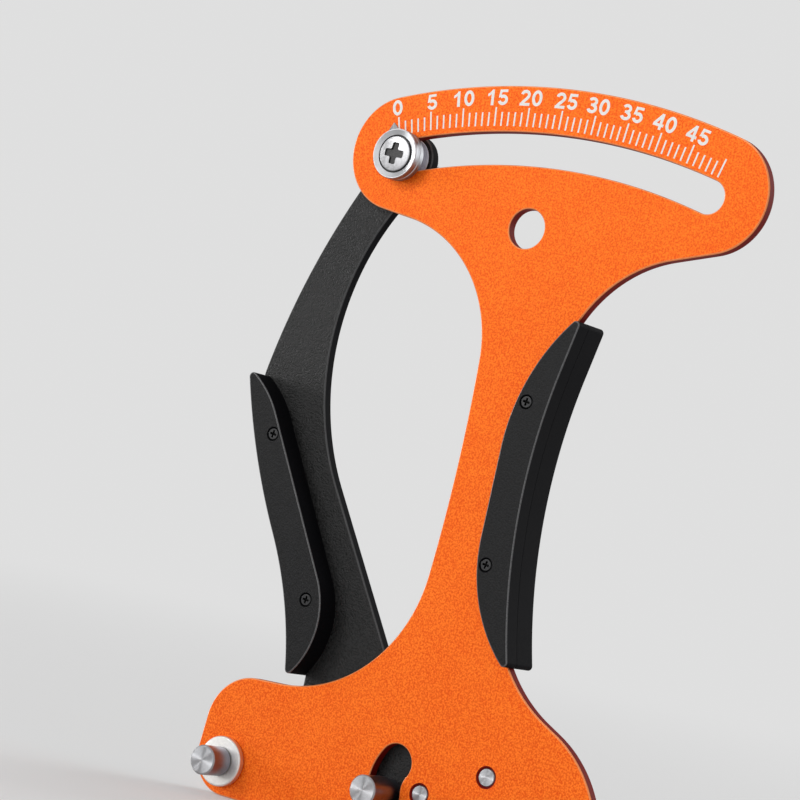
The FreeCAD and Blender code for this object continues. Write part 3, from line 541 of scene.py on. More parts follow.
def pointer_washer(skin):
    """Cup washer with a tip: a sloped face round the screw's head, a thin rim,
    and a small flat point on one side."""
    tip, tip_r, fillet = 8.12, 0.1, 0.7
    half_deg = 35.0
    rim_r, rim_y, wall_cut, tip_droop = 6.3, -4.15, 0.07, 0.28
    lip_r, slope_r, slope_y, slope_run = 6.22, 6.16, -4.12, 0.32
    dish_r, dish_y, seat_y = 4.9, -3.72, -3.3
    tip_back_y, under_cut, bore_r = -3.0, 0.06, 2.6
    back_r, side_y, back_y = 6.2, -2.4, -2.15
    edge_lift, tip_margin = 0.13, 0.3
    # face is the polished steel; side and seat carry painted shade: side on the outer wall,
    # under and on the tip and on the back chamfer, and seat as a painted shadow on the dish
    # floor round the screw's head
    face, side, seat = 0, 1, 2
    across = tip * math.sin(math.radians(half_deg)) + tip_r + fillet
    side_deg = 90.0 - half_deg - math.degrees(math.acos(across / (CUP_R + fillet)))
    circles = [POINTER + (CUP_R,)]
    for radius, degrees, r in ((CUP_R + fillet, side_deg, -fillet), (tip, 0.0, tip_r),
                               (CUP_R + fillet, -side_deg, -fillet)):
        x, z = polar(radius, TIP_DEG + degrees)
        circles.append((POINTER[0] + x, POINTER[1] + z, r))
    line = belt(circles, step_deg=2.5, step_mm=0.3)

    aways = [Vector((x - POINTER[0], z - POINTER[1])) for x, z, _, _ in line]
    edge = [rim_y + edge_lift + tip_droop * (away.length - CUP_R) for away in aways]
    edge_below = [y + wall_cut for y in edge]

    def at(spot, y):
        return Vector((POINTER[0] + spot.x, y, POINTER[1] + spot.y))

    def ring_row(radius, y):
        return [at(away.normalized() * radius, y) for away in aways]

    def outline_row(inset, levels, least=0.0):
        spots = []
        for (_, _, nx, nz), away, y in zip(line, aways, levels):
            spot = away - Vector((nx, nz)) * inset
            spots.append(at(spot.normalized() * max(spot.length, least), y))
        return spots

    def level(y):
        return [y] * len(line)

    # each row: its spots, whether they lie on a circle, the facings, as (outward,
    # back), that it has towards the row before and the row after, and the
    # material up to the row after
    rows = [
        (ring_row(bore_r, seat_y), True, (0, -1), (0, -1), seat),
        (ring_row(dish_r, seat_y), True, (0, -1), (-1, 0), seat),
        (ring_row(dish_r, dish_y), True, (-1, 0), (-slope_run, -1), face),
        (ring_row(slope_r, slope_y), True, (-slope_run, -1), (-slope_run, -1), face),
        (ring_row(lip_r, rim_y), True, (0, -1), (0, -1), face),
        (ring_row(rim_r, rim_y), True, (0, -1), "slope", face),
        (outline_row(wall_cut, edge), False, "slope", "slope", face),
        (outline_row(0.0, edge_below), False, (1, 0), (1, 0), side),
        (outline_row(0.0, level(tip_back_y - under_cut)), False, (1, 0), (1, 0), side),
        (outline_row(under_cut, level(tip_back_y), CUP_R), False, (0, 1), (0, 1), side),
        (ring_row(CUP_R, tip_back_y), True, (0, 1), (1, 0), side),
        (ring_row(CUP_R, side_y), True, (1, 0), (1, 1), side),
        (ring_row(back_r, back_y), True, (1, 1), (0, 1), face),
        (ring_row(bore_r, back_y), True, (0, 1), (-1, 0), face),
    ]
    ids = []
    for spots, *_ in rows:
        loop = []
        for i, spot in enumerate(spots):
            if ids and (skin.points[ids[-1][i]] - spot).length < SAME_SPOT:
                loop.append(ids[-1][i])
            else:
                loop.append(len(skin.points))
                skin.points.append(spot)
        ids.append(loop)
    ids.append(ids[0])

    def facing_at(tier, spot, facing):
        nx, nz = line[spot][2], line[spot][3]
        if rows[tier][1] or facing == "slope":
            nx, nz = aways[spot].normalized()
        if facing == "slope":
            run = aways[spot].length - wall_cut - rim_r
            facing = ((edge[spot] - rim_y) / run, -1)
        return Vector((facing[0] * nx, facing[1], facing[0] * nz)).normalized()

    for k, (_, round_row, _, facing_out, mat) in enumerate(rows):
        after = (k + 1) % len(rows)
        facing_in = rows[after][2] if after else (-1, 0)
        for i in range(len(line)):
            j = (i + 1) % len(line)
            corners, normals = [], []
            for tier, spot, facing in ((k, i, facing_out), (k, j, facing_out),
                                       (k + 1, j, facing_in), (k + 1, i, facing_in)):
                if ids[tier][spot] not in corners:
                    corners.append(ids[tier][spot])
                    normals.append(facing_at(tier % len(rows), spot, facing))
            if len(corners) > 2:
                # the tip's face takes the side's painted shade
                on_slope = round_row and facing_out == "slope"
                on_tip = on_slope and aways[i].length > CUP_R + tip_margin
                skin.face(corners, normals, side if on_tip else mat)


# return spring
SPRING_WIRE_R = 0.4
SPRING_R = 1.9
SPRING_TURNS = 11
SPRING_PITCH = 1.25
HOOK_R = 1.65
HOOK_DEG = 235.0
HOOK_Y = 7.25
HOOK_STEPS = 32
SPRING_Y = 9.15
TURN_STEPS = 36
BEND_STEPS = 12
# handle of a cubic curve that comes close to a quarter circle, per radius
QUARTER = 0.5523


def spring_path():
    """Middle line of the spring's wire, hook to hook."""
    foot = Vector((LEVER_PIN[0], 0, LEVER_PIN[1]))
    head = Vector((ANCHOR[0], 0, ANCHOR[1]))
    span = (head - foot).length
    along = (head - foot).normalized()
    out = Vector((0, 1, 0))
    side = along.cross(out)
    first = (span - SPRING_TURNS * SPRING_PITCH) / 2

    def at(s, n, y):
        return foot + along * s + side * n + out * y

    def hook(s, from_deg, sweep_deg):
        points = []
        for k in range(HOOK_STEPS + 1):
            a = math.radians(from_deg + sweep_deg * k / HOOK_STEPS)
            points.append(at(s + HOOK_R * math.cos(a), HOOK_R * math.sin(a), HOOK_Y))
        return points

    def bend(p0, way0, p1, way1):
        handle = QUARTER * HOOK_R
        c0, c1 = p0 + way0 * handle, p1 - way1 * handle
        points = []
        for k in range(1, BEND_STEPS):
            t = k / BEND_STEPS
            u = 1 - t
            points.append(p0 * u ** 3 + c0 * 3 * u * u * t + c1 * 3 * u * t * t + p1 * t ** 3)
        return points

    def wind(turn):
        a = 2 * math.pi * turn
        return at(first + turn * SPRING_PITCH, SPRING_R * math.sin(a),
                  SPRING_Y - SPRING_R * math.cos(a))

    heading = (along * SPRING_PITCH + side * 2 * math.pi * SPRING_R).normalized()
    path = hook(0, -90 - HOOK_DEG, HOOK_DEG)
    leg_end = at(first - HOOK_R, -HOOK_R, HOOK_Y)
    path.append(leg_end)
    path.extend(bend(leg_end, along, wind(0), heading))
    steps = SPRING_TURNS * TURN_STEPS
    path.extend(wind(SPRING_TURNS * k / steps) for k in range(steps + 1))
    leg_start = at(span - first + HOOK_R, HOOK_R, HOOK_Y)
    path.extend(bend(wind(SPRING_TURNS), heading, leg_start, along))
    path.append(leg_start)
    path.extend(hook(span, 90, -HOOK_DEG))
    return path


def tube(skin, path, radius, sides=14):
    """Round wire along a path, with flat ends."""
    rings = []
    dirs = []
    normal = None
    for i, p in enumerate(path):
        way = (path[min(i + 1, len(path) - 1)] - path[max(i - 1, 0)]).normalized()
        if normal is None:
            normal = way.orthogonal().normalized()
        normal = (normal - way * normal.dot(way)).normalized()
        other = way.cross(normal)
        ids, facings = [], []
        for k in range(sides):
            a = 2 * math.pi * k / sides
            facing = normal * math.cos(a) + other * math.sin(a)
            ids.append(len(skin.points))
            skin.points.append(p + facing * radius)
            facings.append(facing)
        rings.append(ids)
        dirs.append(facings)
    for i in range(len(rings) - 1):
        for k in range(sides):
            j = (k + 1) % sides
            skin.face([rings[i][k], rings[i][j], rings[i + 1][j], rings[i + 1][k]],
                      [dirs[i][k], dirs[i][j], dirs[i + 1][j], dirs[i + 1][k]], 0)
    for end, way in ((0, path[0] - path[1]), (-1, path[-1] - path[-2])):
        ids = rings[end]
        for k in range(1, sides - 1):
            skin.face([ids[0], ids[k], ids[k + 1]], [way.normalized()] * 3, 0)


# ---------------------------------------------------------------- materials

# the span of the noise that the colour and the roughness follow
NOISE_LOW = 0.38
NOISE_HIGH = 0.62


def material(name, colour, rough, metal=0.0, specular=0.5, anisotropic=0.0, grain=2400.0,
             bump=0.1, depth=0.00002, tint=0.06, rough_swing=0.05, patch=90.0,
             patch_share=0.15):
    """Principled material. Fine grain moves the colour, the surface and the
    roughness, and soft patches add a slow change. tint is the colour's swing."""
    mat = bpy.data.materials.new(name)
    mat.use_nodes = True
    nodes = mat.node_tree.nodes
    links = mat.node_tree.links
    shader = nodes["Principled BSDF"]
    shader.inputs["Metallic"].default_value = metal
    shader.inputs["Specular IOR Level"].default_value = specular
    shader.inputs["Anisotropic"].default_value = anisotropic
    coords = nodes.new("ShaderNodeTexCoord")
    noises = []
    for scale, detail in ((grain, 2.0), (patch, 3.0)):
        noise = nodes.new("ShaderNodeTexNoise")
        noise.inputs["Scale"].default_value = scale
        noise.inputs["Detail"].default_value = detail
        links.new(coords.outputs["Object"], noise.inputs["Vector"])
        noises.append(noise)
    both = nodes.new("ShaderNodeMix")
    both.inputs["Factor"].default_value = patch_share
    links.new(noises[0].outputs["Fac"], both.inputs["A"])
    links.new(noises[1].outputs["Fac"], both.inputs["B"])
    shade = nodes.new("ShaderNodeValToRGB")
    tints = tint if isinstance(tint, tuple) else (tint, tint, tint)
    for k, (position, way) in enumerate(((NOISE_LOW, -1), (NOISE_HIGH, 1))):
        shade.color_ramp.elements[k].position = position
        shade.color_ramp.elements[k].color = [
            min(1.0, c * (1 + way * t)) for c, t in zip(colour, tints)] + [1.0]
    links.new(both.outputs["Result"], shade.inputs["Fac"])
    links.new(shade.outputs["Color"], shader.inputs["Base Color"])
    gloss = nodes.new("ShaderNodeMapRange")
    gloss.inputs["From Min"].default_value = NOISE_LOW
    gloss.inputs["From Max"].default_value = NOISE_HIGH
    gloss.inputs["To Min"].default_value = rough - rough_swing
    gloss.inputs["To Max"].default_value = rough + rough_swing
    links.new(both.outputs["Result"], gloss.inputs["Value"])
    links.new(gloss.outputs["Result"], shader.inputs["Roughness"])
    relief = nodes.new("ShaderNodeBump")
    relief.inputs["Strength"].default_value = bump
    relief.inputs["Distance"].default_value = depth
    links.new(noises[0].outputs["Fac"], relief.inputs["Height"])
    links.new(relief.outputs["Normal"], shader.inputs["Normal"])
    if anisotropic:
        way = nodes.new("ShaderNodeTangent")
        way.direction_type = "RADIAL"
        way.axis = "Y"
        links.new(way.outputs["Tangent"], shader.inputs["Tangent"])
    return mat


ORANGE = material("orange_anodised", (0.91, 0.146, 0.008), 0.5, metal=0.3, specular=0.15,
                  grain=2100.0, bump=0.6, depth=0.00006, tint=(0.15, 0.45, 0.9),
                  patch_share=0.08)
# painted highlight: a lighter, glossier orange for the chamfers along the plate's edges,
# standing in for the bright lines the light draws there
ORANGE_EDGE_HIGHLIGHT = material("orange_edge_painted_highlight", (0.95, 0.30, 0.10), 0.34, metal=0.45, tint=0.08)
# painted shade: a dark red copy of the orange for the plate's side walls and hole walls, and
# for the chamfers round the rivet holes
ORANGE_WALL_SHADE = material("orange_wall_painted_shade", (0.19, 0.007, 0.004), 0.6, specular=0.08, tint=0.2)
PRINT = material("scale_print", (0.92, 0.90, 0.87), 0.55, grain=1600.0, tint=0.05)
ARM_COAT = material("arm_coat", (0.011, 0.011, 0.011), 0.5, specular=0.27, grain=2300.0,
                    bump=1.0, depth=0.0003, tint=0.9, rough_swing=0.14, patch_share=0.08)
# painted highlight: a lighter grey for the chamfers along the arm's edges
ARM_EDGE_HIGHLIGHT = material("arm_edge_painted_highlight", (0.06, 0.06, 0.062), 0.36, metal=0.3, tint=0.2)
# painted shade: a darker, duller copy of the coat for the arm's side walls
ARM_WALL_SHADE = material("arm_wall_painted_shade", (0.005, 0.005, 0.006), 0.7, specular=0.04, bump=0.3,
                    depth=0.00004, tint=0.3)
GRIP = material("grip_plastic", (0.006, 0.006, 0.0065), 0.46, specular=0.16, grain=2300.0,
                bump=0.8, depth=0.0001, tint=0.6)
# painted highlight: a lighter grey for the chamfers along the grips' outer edges
GRIP_EDGE_HIGHLIGHT = material("grip_edge_painted_highlight", (0.085, 0.085, 0.088), 0.32, specular=0.6, bump=0.2,
                     tint=0.2)
# painted shade: a duller, darker copy of the grip plastic for the side walls, the edges at
# the seam between the shells, the screw seats and the nut pockets
GRIP_WALL_SHADE = material("grip_wall_painted_shade", (0.005, 0.005, 0.006), 0.7, specular=0.04, bump=0.3,
                     depth=0.00005, tint=0.3)
TURNED = material("turned_steel", (0.42, 0.425, 0.44), 0.38, metal=1.0, anisotropic=1.0,
                  grain=3000.0, bump=0.0, tint=0.05, rough_swing=0.01)
# painted shade: a darker copy of the turned steel for the sides of the posts
TURNED_SIDE_SHADE = material("turned_side_painted_shade", (0.25, 0.25, 0.29), 0.36, metal=1.0, anisotropic=0.3,
                       grain=1500.0, bump=0.05, tint=0.05, rough_swing=0.03)
COLLAR = material("collar_alloy", (0.76, 0.75, 0.72), 0.42, metal=0.85, anisotropic=0.5,
                  grain=1800.0, bump=0.05, tint=0.04)
POLISHED = material("polished_steel", (0.52, 0.525, 0.54), 0.36, metal=1.0, anisotropic=0.95,
                    grain=3000.0, bump=0.0, tint=0.04, rough_swing=0.01)
# painted shade: a darker, duller copy of the polished steel for the cup's side wall, the
# underside and face of its tip and its back chamfer, and for the backing washer's faces and
# walls
CUP_SHADE = material("cup_painted_shade", (0.30, 0.31, 0.33), 0.46, metal=1.0, grain=1500.0, bump=0.05,
                    tint=0.06)
PLATED = material("plated_steel", (0.42, 0.42, 0.43), 0.36, metal=1.0, grain=1800.0, bump=0.3,
                  tint=0.12)
# painted shade: dark steel for the cross recess of the pointer screw and for the dish floor
# round its head in the cup
RECESS_SHADE = material("recess_painted_shade", (0.055, 0.055, 0.055), 0.5, metal=0.8, tint=0.25)
BRONZE = material("bronze", (0.50, 0.28, 0.10), 0.34, metal=1.0, grain=2000.0, tint=0.08)
BLACK_STEEL = material("black_screw", (0.008, 0.008, 0.009), 0.33, metal=0.3, bump=0.1,
                       tint=0.15)
BLACK_GAP = material("seat_shadow", (0.002, 0.002, 0.002), 0.6, specular=0.05)
GLIDE = material("glide", (0.84, 0.86, 0.95), 0.4, metal=0.1, grain=1800.0, tint=0.05)
NYLON = material("nylon_ring", (0.55, 0.56, 0.60), 0.45, grain=1500.0, tint=0.04)
SPRING_STEEL = material("spring_steel", (0.50, 0.50, 0.52), 0.28, metal=1.0, bump=0.1,
                        tint=0.06)


# ---------------------------------------------------------------- printed marks

def box(x0, x1, z0, z1):
    return [(x0, z0), (x1, z0), (x1, z1), (x0, z1)]


def oval(x, z, a, b, from_deg, to_deg, step=9.0):
    """Points on an ellipse; degrees count from +x toward +z."""
    count = max(2, math.ceil(abs(to_deg - from_deg) / step))
    points = []
    for k in range(count + 1):
        t = math.radians(from_deg + (to_deg - from_deg) * k / count)
        points.append((x + a * math.cos(t), z + b * math.sin(t)))
    return points


def stroke(path, half):
    """Outline of a line of constant width along a path."""
    closed = math.dist(path[0], path[-1]) < SAME_SPOT
    near, far = [], []
    n = len(path)
    for k, (x, z) in enumerate(path):
        before = path[k - 1] if k else path[-2] if closed else None
        after = path[k + 1] if k < n - 1 else path[1] if closed else None
        ways = []
        if before:
            ways.append(Vector((x - before[0], z - before[1])).normalized())
        if after:
            ways.append(Vector((after[0] - x, after[1] - z)).normalized())
        way = sum(ways, Vector((0, 0))).normalized()
        reach = half / max(0.5, way.dot(ways[0]))
        near.append((x - way.y * reach, z + way.x * reach))
        far.append((x + way.y * reach, z - way.x * reach))
    return near + far[::-1]


PEN = 0.40
DIGITS = {
    "0": [stroke(oval(0, 2.0, 1.06, 1.62, 0, 360), PEN)],
    "1": [[(0.72, 0), (0.72, 4.0), (0.1, 4.0), (-0.16, 3.58), (-0.56, 3.22), (-1.08, 2.98),
           (-1.08, 2.28), (-0.5, 2.52), (-0.08, 2.84), (-0.08, 0)]],
    "2": [stroke(oval(-0.02, 2.74, 1.0, 0.88, 172, -38) + [(0.35, 1.72), (-0.35, 1.12),
                                                         (-0.85, 0.55)], PEN),
          box(-1.42, 1.4, 0, 0.73)],
    "3": [stroke(oval(-0.06, 2.9, 0.92, 0.72, 160, -80), PEN - 0.02),
          stroke(oval(-0.04, 1.2, 1.06, 0.82, 85, -165), PEN),
          box(-0.5, 0.2, 1.78, 2.42)],
    "4": [box(0.22, 0.98, 0, 4.0), box(-1.5, 1.45, 0.8, 1.5),
          [(-1.5, 1.48), (-1.5, 1.05), (-0.78, 1.2), (0.5, 3.0), (0.98, 4.0), (0.3, 4.0)]],
    "5": [box(-0.95, 1.22, 3.28, 3.96),
          [(-1.0, 3.96), (-0.33, 3.96), (-0.56, 2.52), (-0.78, 2.0), (-1.36, 1.88)],
          stroke(oval(-0.04, 1.33, 1.04, 0.94, 132, -165), PEN)],
}


def printed(outline, radius, degrees):
    """Outline of a mark, put at its place on the scale."""
    hx, hz = polar(1.0, degrees)
    return [((radius + z) * hx + x * hz, (radius + z) * hz - x * hx) for x, z in outline]


def print_piece(name, outlines):
    """Thin layer of paint in the shape of all the outlines together."""
    spots, edges = [], []
    for outline in outlines:
        first, n = len(spots), len(outline)
        spots.extend(Vector(p) for p in outline)
        edges.extend((first + k, first + (k + 1) % n) for k in range(n))
    made = delaunay_2d_cdt(spots, edges, [], 1, 1e-6)
    points, faces = made[0], []
    for tri in made[2]:
        x = sum(points[k].x for k in tri) / 3
        z = sum(points[k].y for k in tri) / 3
        if any(inside(outline, x, z) for outline in outlines):
            faces.append(list(tri))
    sides = {}
    for tri in faces:
        for k in range(3):
            a, b = tri[k], tri[(k + 1) % 3]
            if (b, a) in sides:
                del sides[(b, a)]
            else:
                sides[(a, b)] = True
    n = len(points)
    body = list(faces)
    body += [[k + n for k in tri[::-1]] for tri in faces]
    body += [[b, a, a + n, b + n] for a, b in sides]
    corners = [row(p.x, y, p.y) for y in (-PRINT_T, 0.0) for p in points]
    mesh = bpy.data.meshes.new(name)
    mesh.from_pydata(corners, [], body)
    mesh.materials.append(PRINT)
    place(bpy.data.objects.new(name, mesh), "frame")


# ---------------------------------------------------------------- fixed frame

SHEET_CUT = 0.28
HOLE_CUT = 0.22
RIVET_HOLE_R = 2.33
RIVET_HOLE_CUT = 0.4

# The plate's chamfers take the painted highlight; its walls, and the chamfers round the rivet
# holes as a dark ring round each pin, take the painted shade.
plate = Skin()
sheet(plate, belt(PLATE_LINE), 0, PLATE_T, (SHEET_CUT, SHEET_CUT),
      through=[(arc_slot(*SCALE_SLOT), HOLE_CUT, 1), (arc_slot(*MOVER_SLOT), HOLE_CUT, 1),
               (circle(HANG, HANG_R, 96), HOLE_CUT, 1),
               (circle(PIVOT, RIVET_HOLE_R), RIVET_HOLE_CUT, 2),
               (circle(ANCHOR, RIVET_HOLE_R), RIVET_HOLE_CUT, 2)])
plate.build("plate", "frame", [ORANGE, ORANGE_EDGE_HIGHLIGHT, ORANGE_WALL_SHADE],
            replaces=["front_plate"])

ticks = []
for i in range(TICKS):
    length = TICK_SHORT if i % NUMBER_STEP else TICK_LONG
    ticks.append(printed(box(-TICK_HALF, TICK_HALF, 0, length), TICK_FROM_R + MARK_DROP * i,
                         TICK_FIRST_DEG + TICK_STEP_DEG * i))
print_piece("scale_ticks", ticks)
for value, shift in zip(range(0, TICKS, NUMBER_STEP), NUMBER_SHIFTS):
    digits = str(value)
    outlines = []
    for k, digit in enumerate(digits):
        across = (k - (len(digits) - 1) / 2) * DIGIT_STEP + shift
        for outline in DIGITS[digit]:
            moved = [(x + across, z) for x, z in outline]
            outlines.append(printed(moved, DIGIT_FROM_R + MARK_DROP * value,
                                    TICK_FIRST_DEG + TICK_STEP_DEG * value))
    print_piece("scale_number_%02d" % value, outlines)

# turned pieces, as points (y, radius) from front to back
POST_R = 3.75
POST_END = [(-9.3, 0), (-9.3, 3.4), (-8.95, POST_R)]
POST_NECK_R = 3.2
POST_STEM_R = 2.5
PIN_END = [(0.15, 0), (0.15, 2.05), (0.4, 2.3), (PLATE_T, 2.3)]
PIN_CAP = [(6.5, 1.2), (7.95, 1.2), (7.95, 2.0), (8.05, 2.1), (8.55, 2.1), (8.65, 2.0),
           (8.65, 0)]
JOURNAL_R = 3.0
JOURNAL_BORE_R = 3.03

# each post's side takes the painted shade of the darker turned steel
for side, spot in (("left", LEFT_POST), ("right", RIGHT_POST)):
    one_piece(turn, (side + "_post_turned", side + "_post"), "frame", "turned_steel",
              [TURNED, TURNED_SIDE_SHADE], spot,
              POST_END + [(-2.3, POST_R), (-2.3, POST_NECK_R), (0, POST_NECK_R),
                          (0, POST_STEM_R), (3.8, POST_STEM_R), (3.8, 4.3), (4.0, 4.4),
                          (4.8, 2.6), (4.8, 0)], rounding=0.14, mats=(0, 0, 1))
    one_piece(ring, (side + "_collar", side + "_post_collar"), "frame", "collar_alloy",
              [COLLAR], spot, 3.22, 6.35, -2.0, 0, chamfer=0.3, rounding=0.15)

washers = Skin()
for spot in (LEFT_POST, RIGHT_POST):
    ring(washers, spot, 2.52, 5.0, PLATE_T, PLATE_T + 0.8, chamfer=0.15)
washers.build("rear_washers", "frame", [PLATED],
              replaces=["post_rear_washers"])

one_piece(turn, ("pivot_pin_turned", "pivot_pin"), "frame", "turned_steel", [TURNED], PIVOT,
          PIN_END + [(PLATE_T, JOURNAL_R), (7.02, JOURNAL_R), (7.02, 2.3), (7.64, 2.3),
                     (7.64, JOURNAL_R), (8.19, JOURNAL_R), (8.44, 2.75), (8.44, 0)],
          rounding=0.08)
one_piece(turn, ("anchor_pin_turned", "spring_anchor_pin"), "frame", "turned_steel",
          [TURNED], ANCHOR,
          PIN_END + [(PLATE_T, 2.5), (3.5, 2.5), (3.5, 2.1), (6.52, 2.1), (6.52, 1.2)]
          + PIN_CAP[1:], rounding=0.08)
one_piece(ring, ("pivot_washer_ring", "pivot_washer"), "frame", "plated_steel", [PLATED],
          PIVOT, JOURNAL_BORE_R, 5.8, 6.52, 7.02)

# open retaining ring, with its gap at the top
clip = Skin()
clip_in, clip_out, clip_gap, clip_corner = 2.32, 4.6, 1.9, 0.2
end_x = clip_gap + clip_corner
end_out = math.sqrt((clip_out - clip_corner) ** 2 - end_x ** 2)
end_in = math.sqrt((clip_in + clip_corner) ** 2 - end_x ** 2)
line = belt([(0, 0, clip_out), (end_x, end_out, clip_corner), (end_x, end_in, clip_corner),
             (0, 0, -clip_in), (-end_x, end_in, clip_corner), (-end_x, end_out, clip_corner)])
sheet(clip, line, 7.08, 7.58, (0.06, 0.06), mats=(0, 0, 0), rounding=0.05)
clip.build("pivot_clip_ring", "frame", [BLACK_STEEL], replaces=["pivot_clip"])

# ---------------------------------------------------------------- grips

SEAT_R = 1.77
NUT_POCKET = 4.04
GRIP_FRONT = -3.4
GRIP_REAR = 9.0
GRIP_FRONT_CUT = 0.22
GRIP_REAR_CUT = 0.1
GRIP_SPLIT_CUT = 0.08


def grip(name, body, line, split, screws, nodes):
    """Two moulded shells with screw seats in front and nut pockets behind."""
    materials = [GRIP, GRIP_EDGE_HIGHLIGHT, GRIP_WALL_SHADE]
    # the outer edges take the painted highlight; the walls, the seam edges, the screw seats
    # and the nut pockets the painted shade
    front = Skin()
    sheet(front, line, GRIP_FRONT, split, (GRIP_FRONT_CUT, GRIP_SPLIT_CUT), rounding=0.25,
          mats=(0, 1, 2, 2),
          front=[(circle(p, SEAT_R, 48), 0.06, 1.2, 0.5) for p in screws])
    front.build(name + "_front_shell", body, materials,
                replaces=[nodes + "_front"])
    rear = Skin()
    sheet(rear, line, split, GRIP_REAR, (GRIP_SPLIT_CUT, GRIP_REAR_CUT), rounding=0.06,
          mats=(0, 2, 2, 1),
          back=[(hexagon(p, NUT_POCKET, 0.2), 0.03, 2.0, 0.0) for p in screws])
    rear.build(name + "_rear_shell", body, materials,
               replaces=[nodes + "_rear"])
    heads = Skin()
    nuts = Skin()
    for p in screws:
        turn(heads, p, [(-3.3, 0), (-3.3, 1.35), (-3.15, 1.5), (-2.95, 1.5), (-2.4, 1.1),
                        (8.5, 1.1), (8.5, 0)], rounding=0.12, count=64,
             recess=(cross(p, 1.9, 0.5, 0.1, 8.0), 0.5, 0.06, 1))
        hex_nut(nuts, p, 4.0, 1.14, 6.9, 8.5)
    heads.build(name + "_screw_pair", body, [BLACK_STEEL, BLACK_GAP],
                replaces=[nodes + "_screws"])
    nuts.build(name + "_nut_pair", body, [PLATED], replaces=[nodes + "_nuts"])


grip("right_handle", "frame", belt(RIGHT_GRIP_LINE), 1.5, RIGHT_SCREWS, "right_grip")
grip("left_handle", "lever", belt(LEFT_GRIP_LINE), 5.0, LEFT_SCREWS, "left_grip")

# ---------------------------------------------------------------- lever

# the arm's chamfers take the painted highlight and its walls the painted shade
arm = Skin()
sheet(arm, belt(ARM_LINE), ARM_FRONT, ARM_REAR, (SHEET_CUT, SHEET_CUT), rounding=0.14)
arm.build("arm_plate", "lever", [ARM_COAT, ARM_EDGE_HIGHLIGHT, ARM_WALL_SHADE],
          replaces=["lever_arm"])

bush = Skin()
ring(bush, PIVOT, JOURNAL_BORE_R, 5.4, 3.04, ARM_FRONT, chamfer=0.08)
ring(bush, PIVOT, JOURNAL_BORE_R, 4.2, ARM_FRONT, ARM_REAR, chamfer=0.08)
bush.build("pivot_bush_ring", "lever", [BRONZE], replaces=["pivot_bush"])

one_piece(turn, ("moving_post_turned", "moving_post"), "lever", "turned_steel",
          [TURNED, TURNED_SIDE_SHADE], MOVER,
          POST_END + [(-0.3, POST_R), (-0.3, POST_NECK_R), (ARM_FRONT, POST_NECK_R),
                      (ARM_FRONT, POST_STEM_R), (ARM_REAR, POST_STEM_R), (ARM_REAR, 4.0),
                      (6.7, 4.1), (7.3, 2.6), (7.3, 0)], rounding=0.14, mats=(0, 0, 1))
one_piece(turn, ("lever_pin_turned", "spring_lever_pin"), "lever", "turned_steel", [TURNED],
          LEVER_PIN, [(ARM_FRONT, 0), (ARM_FRONT, 1.6), (ARM_REAR, 1.6)] + PIN_CAP,
          rounding=0.08)

coil = Skin()
tube(coil, spring_path(), SPRING_WIRE_R)
spring = coil.build("return_coil", None, [SPRING_STEEL],
                    replaces=["return_spring"])
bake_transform(spring)

# ---------------------------------------------------------------- pointer

cup = Skin()
pointer_washer(cup)
cup.build("pointer_cup", "lever", [POLISHED, CUP_SHADE, RECESS_SHADE],
          replaces=["pointer_washer"])

POINTER_BORE_R = 2.6
BACKING_REAR = -0.08

# its faces and walls take the cup's painted shade, and its chamfer the polished steel
one_piece(ring, ("pointer_backing", "backing_washer"), "lever", "polished_steel",
          [CUP_SHADE, POLISHED], POINTER, POINTER_BORE_R, 6.35, -2.15, BACKING_REAR,
          chamfer=0.3, rounding=0.1, mats=(0, 1, 0))

# the cross recess takes the recess's painted shade
screw = Skin()
turn(screw, POINTER, [(-4.5, 0), (-4.5, 4.3), (-4.3, 4.5), (-3.3, 4.5), (-3.3, 2.5),
                      (11.5, 2.5), (11.9, 2.1), (11.9, 0)], rounding=0.2,
     recess=(cross(POINTER, 5.5, 1.85, 0.45, 2.5), 0.6, 0.1, 1),
     rings=(1.2, 1.6, 2.0, 2.4, 3.0, 3.4, 3.8))
screw.dome(POINTER, 4.25, -4.0, 0.42)
screw.build("pointer_screw_steel", "lever", [PLATED, RECESS_SHADE],
            replaces=["pointer_screw"])

one_piece(ring, ("slot_bush_ring", "slot_bush"), "lever", "turned_steel", [GLIDE], POINTER,
          POINTER_BORE_R, 4.0, BACKING_REAR, ARM_FRONT)
one_piece(ring, ("glide_ring", "glide_washer"), "lever", "glide", [GLIDE], POINTER,
          4.02, 5.6, 3.04, ARM_FRONT)
one_piece(ring, ("pointer_rear_ring", "pointer_rear_washer"), "lever", "plated_steel",
          [PLATED], POINTER, POINTER_BORE_R, 5.0, ARM_REAR, 7.4, chamfer=0.15)

nut = Skin()
hex_nut(nut, POINTER, 8.0, 2.54, 7.4, 10.6)
ring(nut, POINTER, 2.54, 3.6, 10.5, 11.4, chamfer=0.3, rounding=0.2, mats=(1, 1, 1))
nut.build("pointer_lock_nut", "lever", [PLATED, NYLON],
          replaces=["pointer_nut"])

# ---------------------------------------------------------------- stage

PALE = 0.74
AMBIENT = 0.30
FLOOR_R = 12.0
FLOOR_SIDES = 64
FLOOR_SHADE = 0.84
FLOOR_FADE = (0.1, 1.1)
FLOOR_GLOW = 0.3
AIM = Vector((-0.010, 0.0, -0.065))


def background_level(nodes, links):
    """The pale level for what is seen or mirrored, the ambient level for the rest."""
    path = nodes.new("ShaderNodeLightPath")
    seen = path.outputs["Is Camera Ray"]
    for other in ("Is Glossy Ray", "Is Transmission Ray"):
        either = nodes.new("ShaderNodeMath")
        either.operation = "MAXIMUM"
        links.new(seen, either.inputs[0])
        links.new(path.outputs[other], either.inputs[1])
        seen = either.outputs["Value"]
    level = nodes.new("ShaderNodeMapRange")
    level.inputs["To Min"].default_value = AMBIENT
    level.inputs["To Max"].default_value = PALE
    links.new(seen, level.inputs["Value"])
    return level.outputs["Result"]


